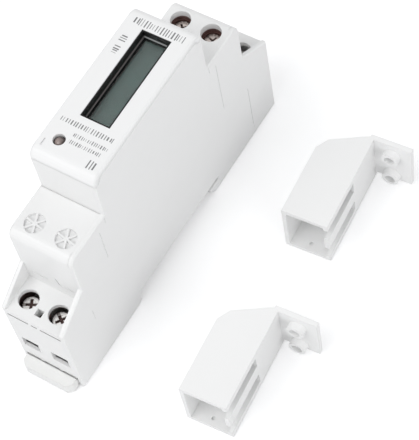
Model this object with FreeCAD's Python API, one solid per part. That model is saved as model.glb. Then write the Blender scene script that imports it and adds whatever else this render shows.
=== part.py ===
import FreeCAD, Part
import math
import os

from FreeCAD import Vector

# Single-module meter for a 35 mm top-hat rail.
# X runs across the module, Y along it towards its upper end, Z from the rail side to the front.
# The origin is on the centre line of the rail notch, on the back plane. All sizes are in millimetres.

# Module and front steps
MODULE_WIDTH = 18.0
FRONT_HEIGHT = 63.0
LEVEL_HEIGHT = 48.3
POCKET_HEIGHT = 27.6
GUSSET_ROOT_HEIGHT = 34.6
GUSSET_TIP_HEIGHT = 28.3
RAISED_LENGTH = 46.0
LEVEL_LENGTH = 14.2
POCKET_LENGTH = 10.4
FRONT_OFFSET = 2.2
FRONT_BEND = 2.6
LEVEL_BEND = 2.4
EDGE_CHAMFER = 0.35
BEND_STEPS = 5
CREASE_WIDTH = 0.25
CREASE_DEPTH = 0.3

# Mouldings
WALL = 1.4
SIDE_WALL = 1.2
RIB = 1.2
SEAT_GAP = 0.15
PEG_BOSS_RADIUS = 1.8
PEG_BOSS_SINK = 0.7
PEG_RADIUS = 0.9
PEG_LENGTH = 4.0
PEG_GAP = 0.05
UPPER_PEG_DROP = 10.8
LOWER_PEG_HEIGHT = 9.4
LOWER_PEG_INSET = 6.0
SIDE_LINE_WIDTH = 0.3
SIDE_LINE_DEPTH = 0.1
SIDE_LINES = ((28.2, 26.5, 45.2), (38.9, 4.6, 21.0), (25.4, 45.6, 47.6), (-24.0, 33.4, 45.0), (-34.3, 19.0, 22.8),
              (-21.2, 45.6, 47.8))
SIDE_DOT = (38.9, 3.0)
SIDE_DOT_RADIUS = 0.5

# Rail notch, fixed hook and sliding clip
RAIL_WIDTH = 35.0
RAIL_EDGE = 1.0
RAIL_PLAY = 0.25
SEAT_HEIGHT = 4.2
HOOK_GRIP = 1.1
HOOK_THROAT = 3.1
HOOK_SLOPE = 2.0
CLIP_THICKNESS = 1.9
CLIP_SIDE_GAP = 0.3
CLIP_REACH = 3.4
CLIP_TRAVEL = 3.5
CLIP_HANDLE = 3.6
CLIP_CORNER = 1.4
CLIP_ARM = 1.3
CLIP_SLOT = 2.0
CLIP_ARM_LENGTH = 14.0
CLIP_ARM_GAP = 1.2
GUIDE_HEIGHT = 0.8
GUIDE_WIDTH = 0.9
GUIDE_GAP = 0.25
GUIDE_RIB = 1.2
GUIDE_RIB_X = 2.8
GUIDE_RIB_END = 4.0
STOP_LENGTH = 2.0
STOP_WIDTH = 2.4
STOP_PLACE = 12.0
STOP_GAP = 0.3

# Front panel, window and lamp
PANEL_THICKNESS = 1.2
PANEL_GROOVE = 0.15
PANEL_GROOVE_DEPTH = 0.4
PRY_LENGTH = 1.9
PRY_WIDTH = 0.4
PRY_DEPTH = 0.3
PRY_INSET_X = 1.5
PRY_INSET_Y = 3.0
PANEL_RIM = 1.0
PANEL_RIM_DEPTH = 2.0
PANEL_RIM_INSET = 4.0
WINDOW_WIDTH = 8.2
WINDOW_LENGTH = 26.8
WINDOW_X = 0.5
WINDOW_Y = 6.3
BEZEL_GAP = 0.05
BEZEL_LIP = 0.35
BEZEL_FLANGE = 1.9
BEZEL_RECESS = 0.1
LENS_DEPTH = 1.8
LENS_THICKNESS = 1.0
LENS_LEDGE = 0.7
LCD_DEPTH = 3.9
LCD_THICKNESS = 2.2
LCD_LEDGE = 1.1
LCD_PINS = 12
LCD_PIN_ROW_LENGTH = 22.0
LCD_PIN_SIZE = 0.45
LCD_PIN_OVERLAP = 4.0
LED_X = -4.2
LED_Y = -14.8
LED_RADIUS = 1.45
LED_HOLE_GAP = 0.1
LED_DEPTH = 0.15
LED_LENGTH = 4.4
LED_DOME_STEPS = 3
LED_FLANGE_RADIUS = 1.8
LED_FLANGE_HEIGHT = 0.8
LED_LEAD = 0.5
LED_LEAD_PITCH = 1.3
LED_LEAD_OVERLAP = 2.0

# Supply terminals
TERMINAL_X = 4.4
TERMINAL_INSET = 5.0
SCREW_HOLE_RADIUS = 2.65
ENTRY_WIDTH = 5.0
ENTRY_BOTTOM = 9.3
ENTRY_LIP = 0.9
ENTRY_RELIEF = 0.6
ENTRY_RELIEF_DROP = 2.2
SCREW_HEAD_RADIUS = 2.4
SCREW_HEAD_LENGTH = 2.4
SCREW_HEAD_EDGE = 0.3
SCREW_DEPTH = 2.9
SCREW_RADIUS = 2.0
THREAD_GAP = 0.05
TIP_GAP = 0.1
DRIVE_WIDTH = 0.8
DRIVE_DEPTH = 1.1
DRIVE_CROSS = 0.72
CAGE_WIDTH = 6.4
CAGE_LENGTH = 6.0
CAGE_WALL = 0.85
CAGE_BOTTOM = 1.2
CAGE_TOP = 2.6
CAGE_GAP = 0.2
CAGE_HEAD_GAP = 1.0
CAGE_CLOSED_GAP = 0.8
BAR_WIDTH = 4.2
BAR_THICKNESS = 1.2
BAR_INSET = 2.2
BAR_GAP = 0.2
CATCH_SIZE = 1.9
CATCH_INSET = 3.1
CATCH_DEPTH = 3.4
CATCH_WALL = 0.7
SEAM_HEIGHT = 31.2
SEAM_DEPTH = 0.5
SEAM_WIDTH = 0.4
SEAM_SPANS = ((-6.2, -1.5), (1.6, 6.2))
SEAM_NOTCH = ((1.1, 34.0), (1.5, 34.0), (2.2, 31.2), (1.8, 31.2))
SLIT_DROP = 2.3
SLIT_HEIGHT = 0.6
SLIT_DEPTH = 1.4
SLIT_MIDDLE = 1.8
SLIT_RIB = 0.8

# Pulse terminals and the two blind places of the lower level
PULSE_INSET = 5.0
PULSE_BLOCK_GAP = 0.1
PULSE_BLOCK_LENGTH = 8.0
PULSE_BLOCK_BOTTOM = 0.8
PULSE_BLOCK_MIDDLE = 1.9
PULSE_ENTRY = 3.4
PULSE_SLEEVE_WALL = 0.7
PULSE_SLEEVE_DEPTH = 2.8
PULSE_HEAD_RADIUS = 2.3
PULSE_HEAD_LENGTH = 1.5
PULSE_SCREW_RADIUS = 1.3
PULSE_SCREW_DEPTH = 3.3
PULSE_CAGE_WIDTH = 4.8
PULSE_CAGE_LENGTH = 4.6
PULSE_CAGE_WALL = 0.6
PULSE_CAGE_TOP = 1.4
PULSE_TRAVEL = 1.6
PULSE_STRIP = 0.6
PULSE_STRIP_WIDTH = 2.4
PULSE_LEAD_DROP = 6.0
BLIND_RECESS = 0.7
STAR_RAYS = 6
STAR_RIB_WIDTH = 0.55
STAR_TURN = 50.0
STAR_RIB_DROP = 0.15

# Electronics
BOARD_STANDOFF = 1.2
BOARD_THICKNESS = 1.6
BOARD_GAP = 0.8
BOARD_LIFT = 1.8
BOARD_HEADROOM = 1.5
BOARD_CORNER = 5.4
POST_RADIUS = 2.2
PIN_RADIUS = 0.9
PIN_GAP = 0.1
PIN_REACH = 0.4
SHUNT_LENGTH = 12.0
SENSE_PIN = 0.7
SENSE_OVERLAP = 3.0
TAP_WIDTH = 3.0
TAP_THICKNESS = 0.8
TAP_Y = -19.0
TAP_RISE = 3.4
BARRIER = 1.0
RIB_PLACES = (-16.0, 18.0)

# Parts on the main board: place along the module, and sizes
PART_GAP = 0.8
CHIP_LEAD = 0.4
CHIP_LEAD_REACH = 0.9
CHIP_LEAD_PITCH = 1.27
METERING_CHIP_Y = 9.0
METERING_CHIP_SIZE = (10.2, 5.4, 1.6)
DISPLAY_DRIVER_Y = -3.0
DISPLAY_DRIVER_SIZE = (8.0, 8.0, 1.4)
OPTO_COUPLER_Y = 22.0
OPTO_COUPLER_RISE = 16.2
OPTO_COUPLER_SIZE = (4.6, 6.4, 3.4)
CRYSTAL_Y = -13.5
CRYSTAL_SIZE = (10.4, 3.6, 3.2)
FILM_CAPACITOR_Y = 10.5
FILM_CAPACITOR_SIZE = (13.0, 11.0, 6.5)
ELECTROLYTIC_Y = -23.0
ELECTROLYTIC_RISE = 13.0
ELECTROLYTIC_RADIUS = 4.0
ELECTROLYTIC_LENGTH = 11.2
VARISTOR_Y = -12.0
VARISTOR_RISE = 10.2
VARISTOR_RADIUS = 4.5
VARISTOR_THICKNESS = 4.0
VARISTOR_LIFT = 1.0
RESISTOR_Y = -2.4
RESISTOR_RISE = 9.6
RESISTOR_RADIUS = 1.4
RESISTOR_LENGTH = 7.0
WIRE_RADIUS = 0.35
BODY_EDGE = 0.4

# Terminal covers, lying on one side next to the meter
COVER_WIDTH = 17.2
COVER_DEPTH = 12.7
COVER_LENGTH = 29.2
COVER_SHORT_LENGTH = 21.2
COVER_CORNER = 2.0
COVER_WALL = 1.2
COVER_FLANGE = 10.3
COVER_FLANGE_FOOT = 1.9
COVER_FLANGE_THICKNESS = 1.4
COVER_SLOT = 4.2
COVER_SLOT_LENGTH = 15.2
COVER_BOSS_RADIUS = 2.3
COVER_BOSS_BORE = 1.4
COVER_BOSS_LENGTH = 2.0
COVER_PIN_MARK = 0.5
COVER_TURN = 4.1
UPPER_COVER_X = 46.0
UPPER_COVER_Y = 14.3
LOWER_COVER_X = 48.7
LOWER_COVER_Y = -39.0

# Places that follow from the sizes above
HALF_WIDTH = MODULE_WIDTH / 2
INNER_X = HALF_WIDTH - SIDE_WALL
RAISED_LOW = FRONT_OFFSET - RAISED_LENGTH / 2
RAISED_HIGH = FRONT_OFFSET + RAISED_LENGTH / 2
LEVEL_LOW = RAISED_LOW - LEVEL_LENGTH
LEVEL_HIGH = RAISED_HIGH + LEVEL_LENGTH
END_LOW = LEVEL_LOW - POCKET_LENGTH
END_HIGH = LEVEL_HIGH + POCKET_LENGTH
NOTCH_Y = RAIL_WIDTH / 2 + RAIL_PLAY
HOOK_TIP_Y = RAIL_WIDTH / 2 - HOOK_GRIP
HOOK_END_Y = HOOK_TIP_Y + HOOK_GRIP + HOOK_THROAT
HOOK_TOP = SEAT_HEIGHT - RAIL_EDGE - RAIL_PLAY
FLOOR_Z = SEAT_HEIGHT + WALL
PANEL_BASE = FRONT_HEIGHT - PANEL_THICKNESS
LIP_BASE = FRONT_HEIGHT - FRONT_BEND - PANEL_GROOVE
POCKET_CEILING = POCKET_HEIGHT - WALL
LEVEL_CEILING = LEVEL_HEIGHT - WALL
SCREW_TOP = POCKET_HEIGHT - SCREW_DEPTH
CLOSED_CAGE_TOP = SCREW_TOP - SCREW_HEAD_LENGTH - CAGE_HEAD_GAP
BAR_STACK = CAGE_TOP + CAGE_GAP + BAR_THICKNESS + BAR_GAP
ENTRY_HEIGHT = (CLOSED_CAGE_TOP + CAGE_CLOSED_GAP - BAR_STACK - ENTRY_BOTTOM) / 2
BAR_BOTTOM = ENTRY_BOTTOM + ENTRY_HEIGHT + BAR_GAP
BAR_TOP = BAR_BOTTOM + BAR_THICKNESS
CAGE_FLOOR = ENTRY_BOTTOM - TIP_GAP
PULSE_Y = LEVEL_HIGH - PULSE_INSET
PULSE_SCREW_TOP = LEVEL_HEIGHT - PULSE_SCREW_DEPTH
PULSE_CAGE_HIGH = PULSE_SCREW_TOP - PULSE_HEAD_LENGTH - PULSE_TRAVEL - CAGE_GAP
PULSE_STRIP_TOP = PULSE_CAGE_HIGH - PULSE_CAGE_TOP - CAGE_GAP
PULSE_ENTRY_TOP = PULSE_STRIP_TOP - PULSE_STRIP - CAGE_GAP
PULSE_CAGE_FLOOR = PULSE_ENTRY_TOP - PULSE_ENTRY - TIP_GAP
PULSE_BLOCK_BASE = PULSE_CAGE_FLOOR - PULSE_CAGE_WALL - CAGE_GAP - PULSE_BLOCK_BOTTOM
PULSE_BLOCK_BACK = LEVEL_HIGH - WALL - PULSE_BLOCK_GAP - PULSE_BLOCK_LENGTH
BOARD_BOTTOM = BAR_TOP + BOARD_LIFT
BOARD_TOP = FRONT_HEIGHT - LCD_DEPTH - LCD_THICKNESS - BOARD_HEADROOM
BOARD_X = -INNER_X + BOARD_STANDOFF
BOARD_FACE = BOARD_X + BOARD_THICKNESS
BOARD_LOW = LEVEL_LOW + WALL + BOARD_GAP
BOARD_HIGH = LEVEL_HIGH - WALL - BOARD_GAP
FILM_CAPACITOR_Z = BOARD_BOTTOM + SENSE_OVERLAP + PART_GAP + FILM_CAPACITOR_SIZE[1] / 2
FILM_CAPACITOR_TOP = FILM_CAPACITOR_Z + FILM_CAPACITOR_SIZE[1] / 2
METERING_CHIP_Z = FILM_CAPACITOR_TOP + PART_GAP + CHIP_LEAD_REACH + METERING_CHIP_SIZE[1] / 2
DISPLAY_DRIVER_TOP = BOARD_TOP - LCD_PIN_OVERLAP - PART_GAP
DISPLAY_DRIVER_Z = DISPLAY_DRIVER_TOP - CHIP_LEAD_REACH - DISPLAY_DRIVER_SIZE[1] / 2
VARISTOR_Z = BOARD_BOTTOM + VARISTOR_RISE
CRYSTAL_Z = VARISTOR_Z + VARISTOR_RADIUS + PART_GAP + CRYSTAL_SIZE[1] / 2
CLIP_HALF = INNER_X - CLIP_SIDE_GAP
CLIP_TOP = HOOK_TOP
STOP_Y = END_LOW + STOP_PLACE


def write(node, shape):
    """Write one piece, as a single solid or a group of them, to its own STEP file."""
    shape.exportStep("parts/" + node + ".step")


def box(x0, x1, y0, y1, z0, z1):
    """Box between two corners."""
    return Part.makeBox(x1 - x0, y1 - y0, z1 - z0, Vector(x0, y0, z0))


def rod(radius, start, end):
    """Round bar from one point to another."""
    along = end - start
    return Part.makeCylinder(radius, along.Length, start, along)


def side_plate(outline, x0, x1):
    """Plate with a (y, z) outline, from one place across the module to another."""
    corners = [Vector(x0, y, z) for y, z in outline]
    face = Part.Face(Part.makePolygon(corners + corners[:1]))
    return face.extrude(Vector(x1 - x0, 0, 0))


def plan_prism(outline, z0, z1):
    """Upright prism with an (x, y) outline."""
    corners = [Vector(x, y, z0) for x, y in outline]
    face = Part.Face(Part.makePolygon(corners + corners[:1]))
    return face.extrude(Vector(0, 0, z1 - z0))


def fuse_all(shapes):
    """Union of a list of solids, with split faces merged."""
    return shapes[0].multiFuse(shapes[1:]).removeSplitter()


def turned(start, axis, profile):
    """Solid of revolution about an axis from a start point, with a profile of (along, radius) corners."""
    across = Vector(0, 0, 1) if axis.z == 0 else Vector(1, 0, 0)
    corners = [start + axis * along + across * radius for along, radius in profile]
    face = Part.Face(Part.makePolygon(corners + corners[:1]))
    return face.revolve(start, axis, 360)


def barrel(start, axis, length, radius, edge):
    """Round bar with chamfered rims."""
    profile = [(0, 0), (0, radius - edge), (edge, radius), (length - edge, radius), (length, radius - edge), (length, 0)]
    return turned(start, axis, profile)


def chamfer_where(shape, size, chosen):
    """Chamfer the edges whose end points all pass a test."""
    edges = [e for e in shape.Edges if all(chosen(v.Point) for v in e.Vertexes)]
    return shape.makeChamfer(size, edges)


def hook_outline():
    """Corners of the fixed rail hook, from its back end to the seat of the notch."""
    return [
        (HOOK_TIP_Y + HOOK_SLOPE, 0.0),
        (HOOK_TIP_Y, HOOK_TOP - RAIL_EDGE),
        (HOOK_TIP_Y, HOOK_TOP),
        (HOOK_END_Y, HOOK_TOP),
        (HOOK_END_Y, SEAT_HEIGHT),
    ]


def bend_line(y, top, inward, size):
    """Corners of a rounded bend from an end wall up to a level face."""
    corners = []
    for step in range(BEND_STEPS + 1):
        angle = math.pi / 2 * step / BEND_STEPS
        corners.append((y + inward * size * (1 - math.cos(angle)), top - size * (1 - math.sin(angle))))
    return corners


def cap_line():
    """Line where the front panel meets the housing, from the lower to the upper end."""
    rise = PANEL_BASE - LIP_BASE
    return [
        (RAISED_LOW, LIP_BASE),
        (RAISED_LOW + WALL, LIP_BASE),
        (RAISED_LOW + WALL + rise, PANEL_BASE),
        (RAISED_HIGH - WALL - rise, PANEL_BASE),
        (RAISED_HIGH - WALL, LIP_BASE),
        (RAISED_HIGH, LIP_BASE),
    ]


def low_level(foot):
    """Corners of the lower second level, from its outer foot to the raised front."""
    return [(LEVEL_LOW, foot)] + bend_line(LEVEL_LOW, LEVEL_HEIGHT, 1, LEVEL_BEND) + [(RAISED_LOW, LEVEL_HEIGHT)]


def high_level(foot):
    """Corners of the upper second level, from the raised front to its outer foot."""
    bend = bend_line(LEVEL_HIGH, LEVEL_HEIGHT, -1, LEVEL_BEND)
    return [(RAISED_HIGH, LEVEL_HEIGHT)] + bend[::-1] + [(LEVEL_HIGH, foot)]


def wall_outline():
    """Side wall outline, with gussets beside the terminal pockets and legs down to the back plane."""
    low_end = [(END_LOW, 0.0), (END_LOW, GUSSET_TIP_HEIGHT)]
    high_end = [(END_HIGH, GUSSET_TIP_HEIGHT), (END_HIGH, 0.0)]
    front = low_level(GUSSET_ROOT_HEIGHT) + cap_line() + high_level(GUSSET_ROOT_HEIGHT)
    notch = [(-NOTCH_Y, SEAT_HEIGHT), (-NOTCH_Y, RAIL_EDGE), (-NOTCH_Y - RAIL_EDGE, 0.0)]
    return low_end + front + high_end + hook_outline() + notch


def shell_outline():
    """Outline of the hollow middle of the housing, between the two side walls."""
    low_end = [(END_LOW, SEAT_HEIGHT), (END_LOW, POCKET_HEIGHT)]
    high_end = [(END_HIGH, POCKET_HEIGHT), (END_HIGH, 0.0)]
    return low_end + low_level(POCKET_HEIGHT) + cap_line() + high_level(POCKET_HEIGHT) + high_end + hook_outline()


def inner_bevel():
    """Bevel of the second levels on the inside of the wall."""
    return LEVEL_BEND - WALL * (2 - math.sqrt(2))


def cavity_outline():
    """Inside of the shell, one wall in, with the raised front left open for the panel."""
    bevel = inner_bevel()
    shoulder = LEVEL_CEILING - bevel
    return [
        (END_LOW + WALL, FLOOR_Z),
        (END_LOW + WALL, POCKET_CEILING),
        (LEVEL_LOW + WALL, POCKET_CEILING),
        (LEVEL_LOW + WALL, shoulder),
        (LEVEL_LOW + WALL + bevel, LEVEL_CEILING),
        (RAISED_LOW + WALL, LEVEL_CEILING),
        (RAISED_LOW + WALL, FRONT_HEIGHT),
        (RAISED_HIGH - WALL, FRONT_HEIGHT),
        (RAISED_HIGH - WALL, LEVEL_CEILING),
        (LEVEL_HIGH - WALL - bevel, LEVEL_CEILING),
        (LEVEL_HIGH - WALL, shoulder),
        (LEVEL_HIGH - WALL, POCKET_CEILING),
        (END_HIGH - WALL, POCKET_CEILING),
        (END_HIGH - WALL, WALL),
        (HOOK_END_Y + WALL, WALL),
        (HOOK_END_Y + WALL, FLOOR_Z),
    ]


def ends():
    """For each end: face of the end wall, face of the bulkhead and direction into the module."""
    return [(END_LOW, LEVEL_LOW, 1), (END_HIGH, LEVEL_HIGH, -1)]


def span(start, length):
    """Sorted pair from a start and a signed length."""
    return sorted((start, start + length))


def bulkhead(level, inward):
    """Cross wall between a terminal chamber and the electronics, slotted for the bars."""
    y0, y1 = span(level, inward * WALL)
    plate = box(-INNER_X, INNER_X, y0, y1, WALL if inward < 0 else FLOOR_Z, POCKET_CEILING)
    slot_x = -TERMINAL_X - BAR_WIDTH / 2 - SEAT_GAP
    return plate.cut(box(slot_x, INNER_X, y0, y1, BAR_BOTTOM, BAR_TOP + SEAT_GAP))


def hole_places():
    """Centre, top and depth of each screw hole: two in each pocket and two in the upper second level."""
    supply = [(end + inward * TERMINAL_INSET, POCKET_HEIGHT, WALL) for end, _, inward in ends()]
    rows = supply + [(PULSE_Y, LEVEL_HEIGHT, PULSE_SLEEVE_DEPTH)]
    return [(side * TERMINAL_X, *row) for row in rows for side in (-1, 1)]


def pocket_slits(end, inward):
    """Three shallow slits across an end face, just under the pocket floor."""
    y0, y1 = span(end, inward * SLIT_DEPTH)
    z0 = POCKET_HEIGHT - SLIT_DROP
    half = SLIT_MIDDLE / 2
    spans = [(-INNER_X, -half - SLIT_RIB), (-half, half), (half + SLIT_RIB, INNER_X)]
    return [box(x0, x1, y0, y1, z0, z0 + SLIT_HEIGHT) for x0, x1 in spans]


def pocket_catch(end, inward, wall):
    """Square block on the catch hole of a pocket floor, larger than the hole by a wall on every side."""
    half = CATCH_SIZE / 2 + wall
    y = end + inward * CATCH_INSET
    return box(-half, half, y - half, y + half, POCKET_HEIGHT - CATCH_DEPTH, POCKET_HEIGHT)


def wire_entries(end, inward):
    """Two rectangular wire entries in an end wall, relieved on the inside so that only a thin lip is left."""
    top = ENTRY_BOTTOM + ENTRY_HEIGHT
    half = ENTRY_WIDTH / 2
    y0, y1 = span(end, inward * WALL)
    r0, r1 = span(end + inward * ENTRY_LIP, inward * (WALL - ENTRY_LIP))
    wide = half + ENTRY_RELIEF
    cuts = []
    for x in (-TERMINAL_X, TERMINAL_X):
        cuts.append(box(x - half, x + half, y0, y1, ENTRY_BOTTOM, top))
        cuts.append(box(x - wide, x + wide, r0, r1, ENTRY_BOTTOM - ENTRY_RELIEF_DROP, top))
    return cuts


def step_seam(level, inward):
    """Fine moulded seam at the foot of a second level, with a short slanted notch above it."""
    y0, y1 = span(level, inward * SEAM_DEPTH)
    z1 = SEAM_HEIGHT + SEAM_WIDTH
    lines = [box(x0, x1, y0, y1, SEAM_HEIGHT, z1) for x0, x1 in SEAM_SPANS]
    corners = [Vector(x, y0, z) for x, z in SEAM_NOTCH]
    notch = Part.Face(Part.makePolygon(corners + corners[:1])).extrude(Vector(0, y1 - y0, 0))
    return lines + [notch]


def level_creases():
    """Fine parting groove at the foot of the raised front, on both second levels."""
    x0 = -HALF_WIDTH + EDGE_CHAMFER
    z0 = LEVEL_HEIGHT - CREASE_DEPTH
    lows = (RAISED_LOW - CREASE_WIDTH, RAISED_HIGH)
    return [box(x0, INNER_X, y, y + CREASE_WIDTH, z0, LEVEL_HEIGHT) for y in lows]


def pulse_entries():
    """Two wire entries in the upper step face, in front of the pulse terminals."""
    y0, y1 = span(LEVEL_HIGH, -WALL)
    half = PULSE_ENTRY / 2
    base = PULSE_ENTRY_TOP - PULSE_ENTRY
    return [box(x - half, x + half, y0, y1, base, PULSE_ENTRY_TOP) for x in (-TERMINAL_X, TERMINAL_X)]


def blind_star(x):
    """Round recess over an unused terminal place, with raised ribs left in it as a six-pointed star."""
    centre = Vector(x, LEVEL_LOW + PULSE_INSET, LEVEL_HEIGHT)
    recess = rod(SCREW_HOLE_RADIUS, centre - Vector(0, 0, BLIND_RECESS), centre)
    half = STAR_RIB_WIDTH / 2
    reach = SCREW_HOLE_RADIUS + STAR_RIB_WIDTH
    ribs = []
    for ray in range(STAR_RAYS // 2):
        rib = box(-reach, reach, -half, half, -BLIND_RECESS, -STAR_RIB_DROP)
        rib.rotate(Vector(0, 0, 0), Vector(0, 0, 1), STAR_TURN + ray * 360 / STAR_RAYS)
        rib.translate(centre)
        ribs.append(rib)
    return [recess.cut(fuse_all(ribs))]


def peg_places():
    """Centres of the pegs that fix the side cover, as (y, z)."""
    inset = WALL + PEG_BOSS_RADIUS - PEG_BOSS_SINK
    upper = PANEL_BASE - UPPER_PEG_DROP
    return [
        (RAISED_LOW + inset, upper),
        (RAISED_HIGH - inset, upper),
        (LEVEL_LOW + LOWER_PEG_INSET, LOWER_PEG_HEIGHT),
        (LEVEL_HIGH - LOWER_PEG_INSET, LOWER_PEG_HEIGHT),
    ]


def board_places():
    """Centres of the posts that carry the main board, as (y, z)."""
    low = BOARD_LOW + BOARD_CORNER
    high = PULSE_BLOCK_BACK - BOARD_CORNER
    return [(y, z) for y in (low, high) for z in (BOARD_BOTTOM + BOARD_CORNER, LEVEL_CEILING - BOARD_CORNER)]


def housing_body():
    """Moulded tub: left wall, stepped front, end walls, back, terminal chambers and inner ribs."""
    left = side_plate(wall_outline(), -HALF_WIDTH, -INNER_X)
    left = chamfer_where(left, EDGE_CHAMFER, lambda p: p.x < -HALF_WIDTH + PEG_GAP)
    shell = side_plate(shell_outline(), -INNER_X, INNER_X)
    shell = shell.cut(side_plate(cavity_outline(), -INNER_X, INNER_X))
    adds = [shell]
    cuts = []
    for end, level, inward in ends():
        adds.append(bulkhead(level, inward))
        cuts += pocket_slits(end, inward) + wire_entries(end, inward) + step_seam(level, inward)
        adds.append(pocket_catch(end, inward, CATCH_WALL))
        cuts.append(pocket_catch(end, inward, 0.0))
    for x, y, top, depth in hole_places():
        low, high = Vector(x, y, top - depth), Vector(x, y, top)
        cuts.append(rod(SCREW_HOLE_RADIUS, low, high))
        if depth > WALL:
            adds.append(rod(SCREW_HOLE_RADIUS + PULSE_SLEEVE_WALL, low, high))
    for y, z in peg_places():
        adds.append(rod(PEG_BOSS_RADIUS, Vector(-INNER_X, y, z), Vector(INNER_X, y, z)))
        mouth = Vector(INNER_X - PEG_LENGTH - PEG_GAP, y, z)
        cuts.append(rod(PEG_RADIUS + PEG_GAP, mouth, Vector(INNER_X, y, z)))
    for y, z in board_places():
        adds.append(rod(POST_RADIUS, Vector(-INNER_X, y, z), Vector(BOARD_X, y, z)))
        adds.append(rod(PIN_RADIUS, Vector(BOARD_X, y, z), Vector(BOARD_FACE + PIN_REACH, y, z)))
    for y in RIB_PLACES:
        adds.append(box(-INNER_X, INNER_X, y - RIB / 2, y + RIB / 2, FLOOR_Z, BAR_BOTTOM))
    shelf = PULSE_BLOCK_BASE - RIB
    adds.append(box(-INNER_X, INNER_X, PULSE_BLOCK_BACK, LEVEL_HIGH - WALL, shelf, PULSE_BLOCK_BASE))
    adds.append(box(-INNER_X, -INNER_X + GUIDE_WIDTH, END_LOW, -NOTCH_Y - RAIL_EDGE, 0.0, GUIDE_HEIGHT))
    for x in (-GUIDE_RIB_X, GUIDE_RIB_X):
        x0, x1 = span(x - GUIDE_RIB / 2, GUIDE_RIB)
        adds.append(box(x0, x1, END_LOW, -NOTCH_Y - GUIDE_RIB_END, CLIP_TOP + GUIDE_GAP, SEAT_HEIGHT))
    half = STOP_WIDTH / 2
    stop_z = CLIP_TOP - CLIP_THICKNESS + GUIDE_GAP
    adds.append(box(-half, half, STOP_Y, STOP_Y + STOP_LENGTH, stop_z, SEAT_HEIGHT))
    cuts += level_creases() + pulse_entries() + blind_star(-TERMINAL_X) + blind_star(TERMINAL_X)
    return fuse_all([left] + adds).cut(Part.makeCompound(cuts)).removeSplitter()


def side_cover():
    """Right side wall, fixed by four pegs, with the second guide for the rail clip."""
    plate = side_plate(wall_outline(), INNER_X, HALF_WIDTH)
    plate = chamfer_where(plate, EDGE_CHAMFER, lambda p: p.x > HALF_WIDTH - PEG_GAP)
    pegs = [rod(PEG_RADIUS, Vector(INNER_X - PEG_LENGTH, y, z), Vector(INNER_X, y, z)) for y, z in peg_places()]
    guide = box(INNER_X - GUIDE_WIDTH, INNER_X, END_LOW, -NOTCH_Y - RAIL_EDGE, 0.0, GUIDE_HEIGHT)
    x0 = HALF_WIDTH - SIDE_LINE_DEPTH
    half = SIDE_LINE_WIDTH / 2
    marks = [box(x0, HALF_WIDTH, y - half, y + half, z0, z1) for y, z0, z1 in SIDE_LINES]
    marks.append(rod(SIDE_DOT_RADIUS, Vector(x0, *SIDE_DOT), Vector(HALF_WIDTH, *SIDE_DOT)))
    return fuse_all([plate] + pegs + [guide]).cut(Part.makeCompound(marks))


def front_panel():
    """Front cap over the raised part, bent down at both ends, with a shadow groove above its seat and a pry slot."""
    line = cap_line()
    low_bend = bend_line(RAISED_LOW, FRONT_HEIGHT, 1, FRONT_BEND)
    top = bend_line(RAISED_HIGH, FRONT_HEIGHT, -1, FRONT_BEND) + low_bend[::-1]
    cap = side_plate(line + top, -HALF_WIDTH, HALF_WIDTH)
    for side in (-1, 1):
        on_side = lambda p: p.x * side > 0 and any(abs(p.y - y) + abs(p.z - z) < PEG_GAP for y, z in top)
        cap = chamfer_where(cap, EDGE_CHAMFER, on_side)
    raised = [(y, z + PANEL_GROOVE) for y, z in line]
    band = side_plate(line + raised[::-1], -HALF_WIDTH, HALF_WIDTH)
    inset = PANEL_GROOVE_DEPTH
    core = box(-HALF_WIDTH + inset, HALF_WIDTH - inset, RAISED_LOW + inset, RAISED_HIGH - inset, 0, FRONT_HEIGHT)
    cap = cap.cut(band.cut(core))
    rim_low = RAISED_LOW + WALL + PANEL_RIM_INSET
    rim_high = RAISED_HIGH - WALL - PANEL_RIM_INSET
    outer = INNER_X - SEAT_GAP
    for side in (-1, 1):
        x0, x1 = span(side * outer, -side * PANEL_RIM)
        cap = cap.fuse(box(x0, x1, rim_low, rim_high, PANEL_BASE - PANEL_RIM_DEPTH, PANEL_BASE))
    x0 = WINDOW_X - WINDOW_WIDTH / 2
    y0 = WINDOW_Y - WINDOW_LENGTH / 2
    window = box(x0, x0 + WINDOW_WIDTH, y0, y0 + WINDOW_LENGTH, PANEL_BASE, FRONT_HEIGHT)
    lamp = rod(LED_RADIUS + LED_HOLE_GAP, Vector(LED_X, LED_Y, PANEL_BASE), Vector(LED_X, LED_Y, FRONT_HEIGHT))
    pry_x = -HALF_WIDTH + PRY_INSET_X
    pry_y = RAISED_LOW + PRY_INSET_Y
    pry = box(pry_x, pry_x + PRY_WIDTH, pry_y, pry_y + PRY_LENGTH, FRONT_HEIGHT - PRY_DEPTH, FRONT_HEIGHT)
    return cap.cut(Part.makeCompound([window, lamp, pry])).removeSplitter()


def window_ring(grow, z0, z1):
    """Block on the window's centre, larger than the window by a margin on every side."""
    half_x = WINDOW_WIDTH / 2 + grow
    half_y = WINDOW_LENGTH / 2 + grow
    return box(WINDOW_X - half_x, WINDOW_X + half_x, WINDOW_Y - half_y, WINDOW_Y + half_y, z0, z1)


def lcd_bezel():
    """Black frame that lines the window and holds the clear pane and the display under it."""
    lens_top = FRONT_HEIGHT - LENS_DEPTH
    lens_base = lens_top - LENS_THICKNESS
    lcd_top = FRONT_HEIGHT - LCD_DEPTH
    lcd_base = lcd_top - LCD_THICKNESS
    frame = window_ring(BEZEL_FLANGE, lcd_base, PANEL_BASE)
    frame = frame.fuse(window_ring(-BEZEL_GAP, PANEL_BASE, FRONT_HEIGHT - BEZEL_RECESS))
    frame = frame.cut(window_ring(-BEZEL_GAP - BEZEL_LIP, lens_top, FRONT_HEIGHT))
    frame = frame.cut(window_ring(LENS_LEDGE, lens_base, lens_top))
    frame = frame.cut(window_ring(0.0, lcd_top, lens_base))
    return frame.cut(window_ring(LCD_LEDGE, lcd_base, lcd_top))


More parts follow.
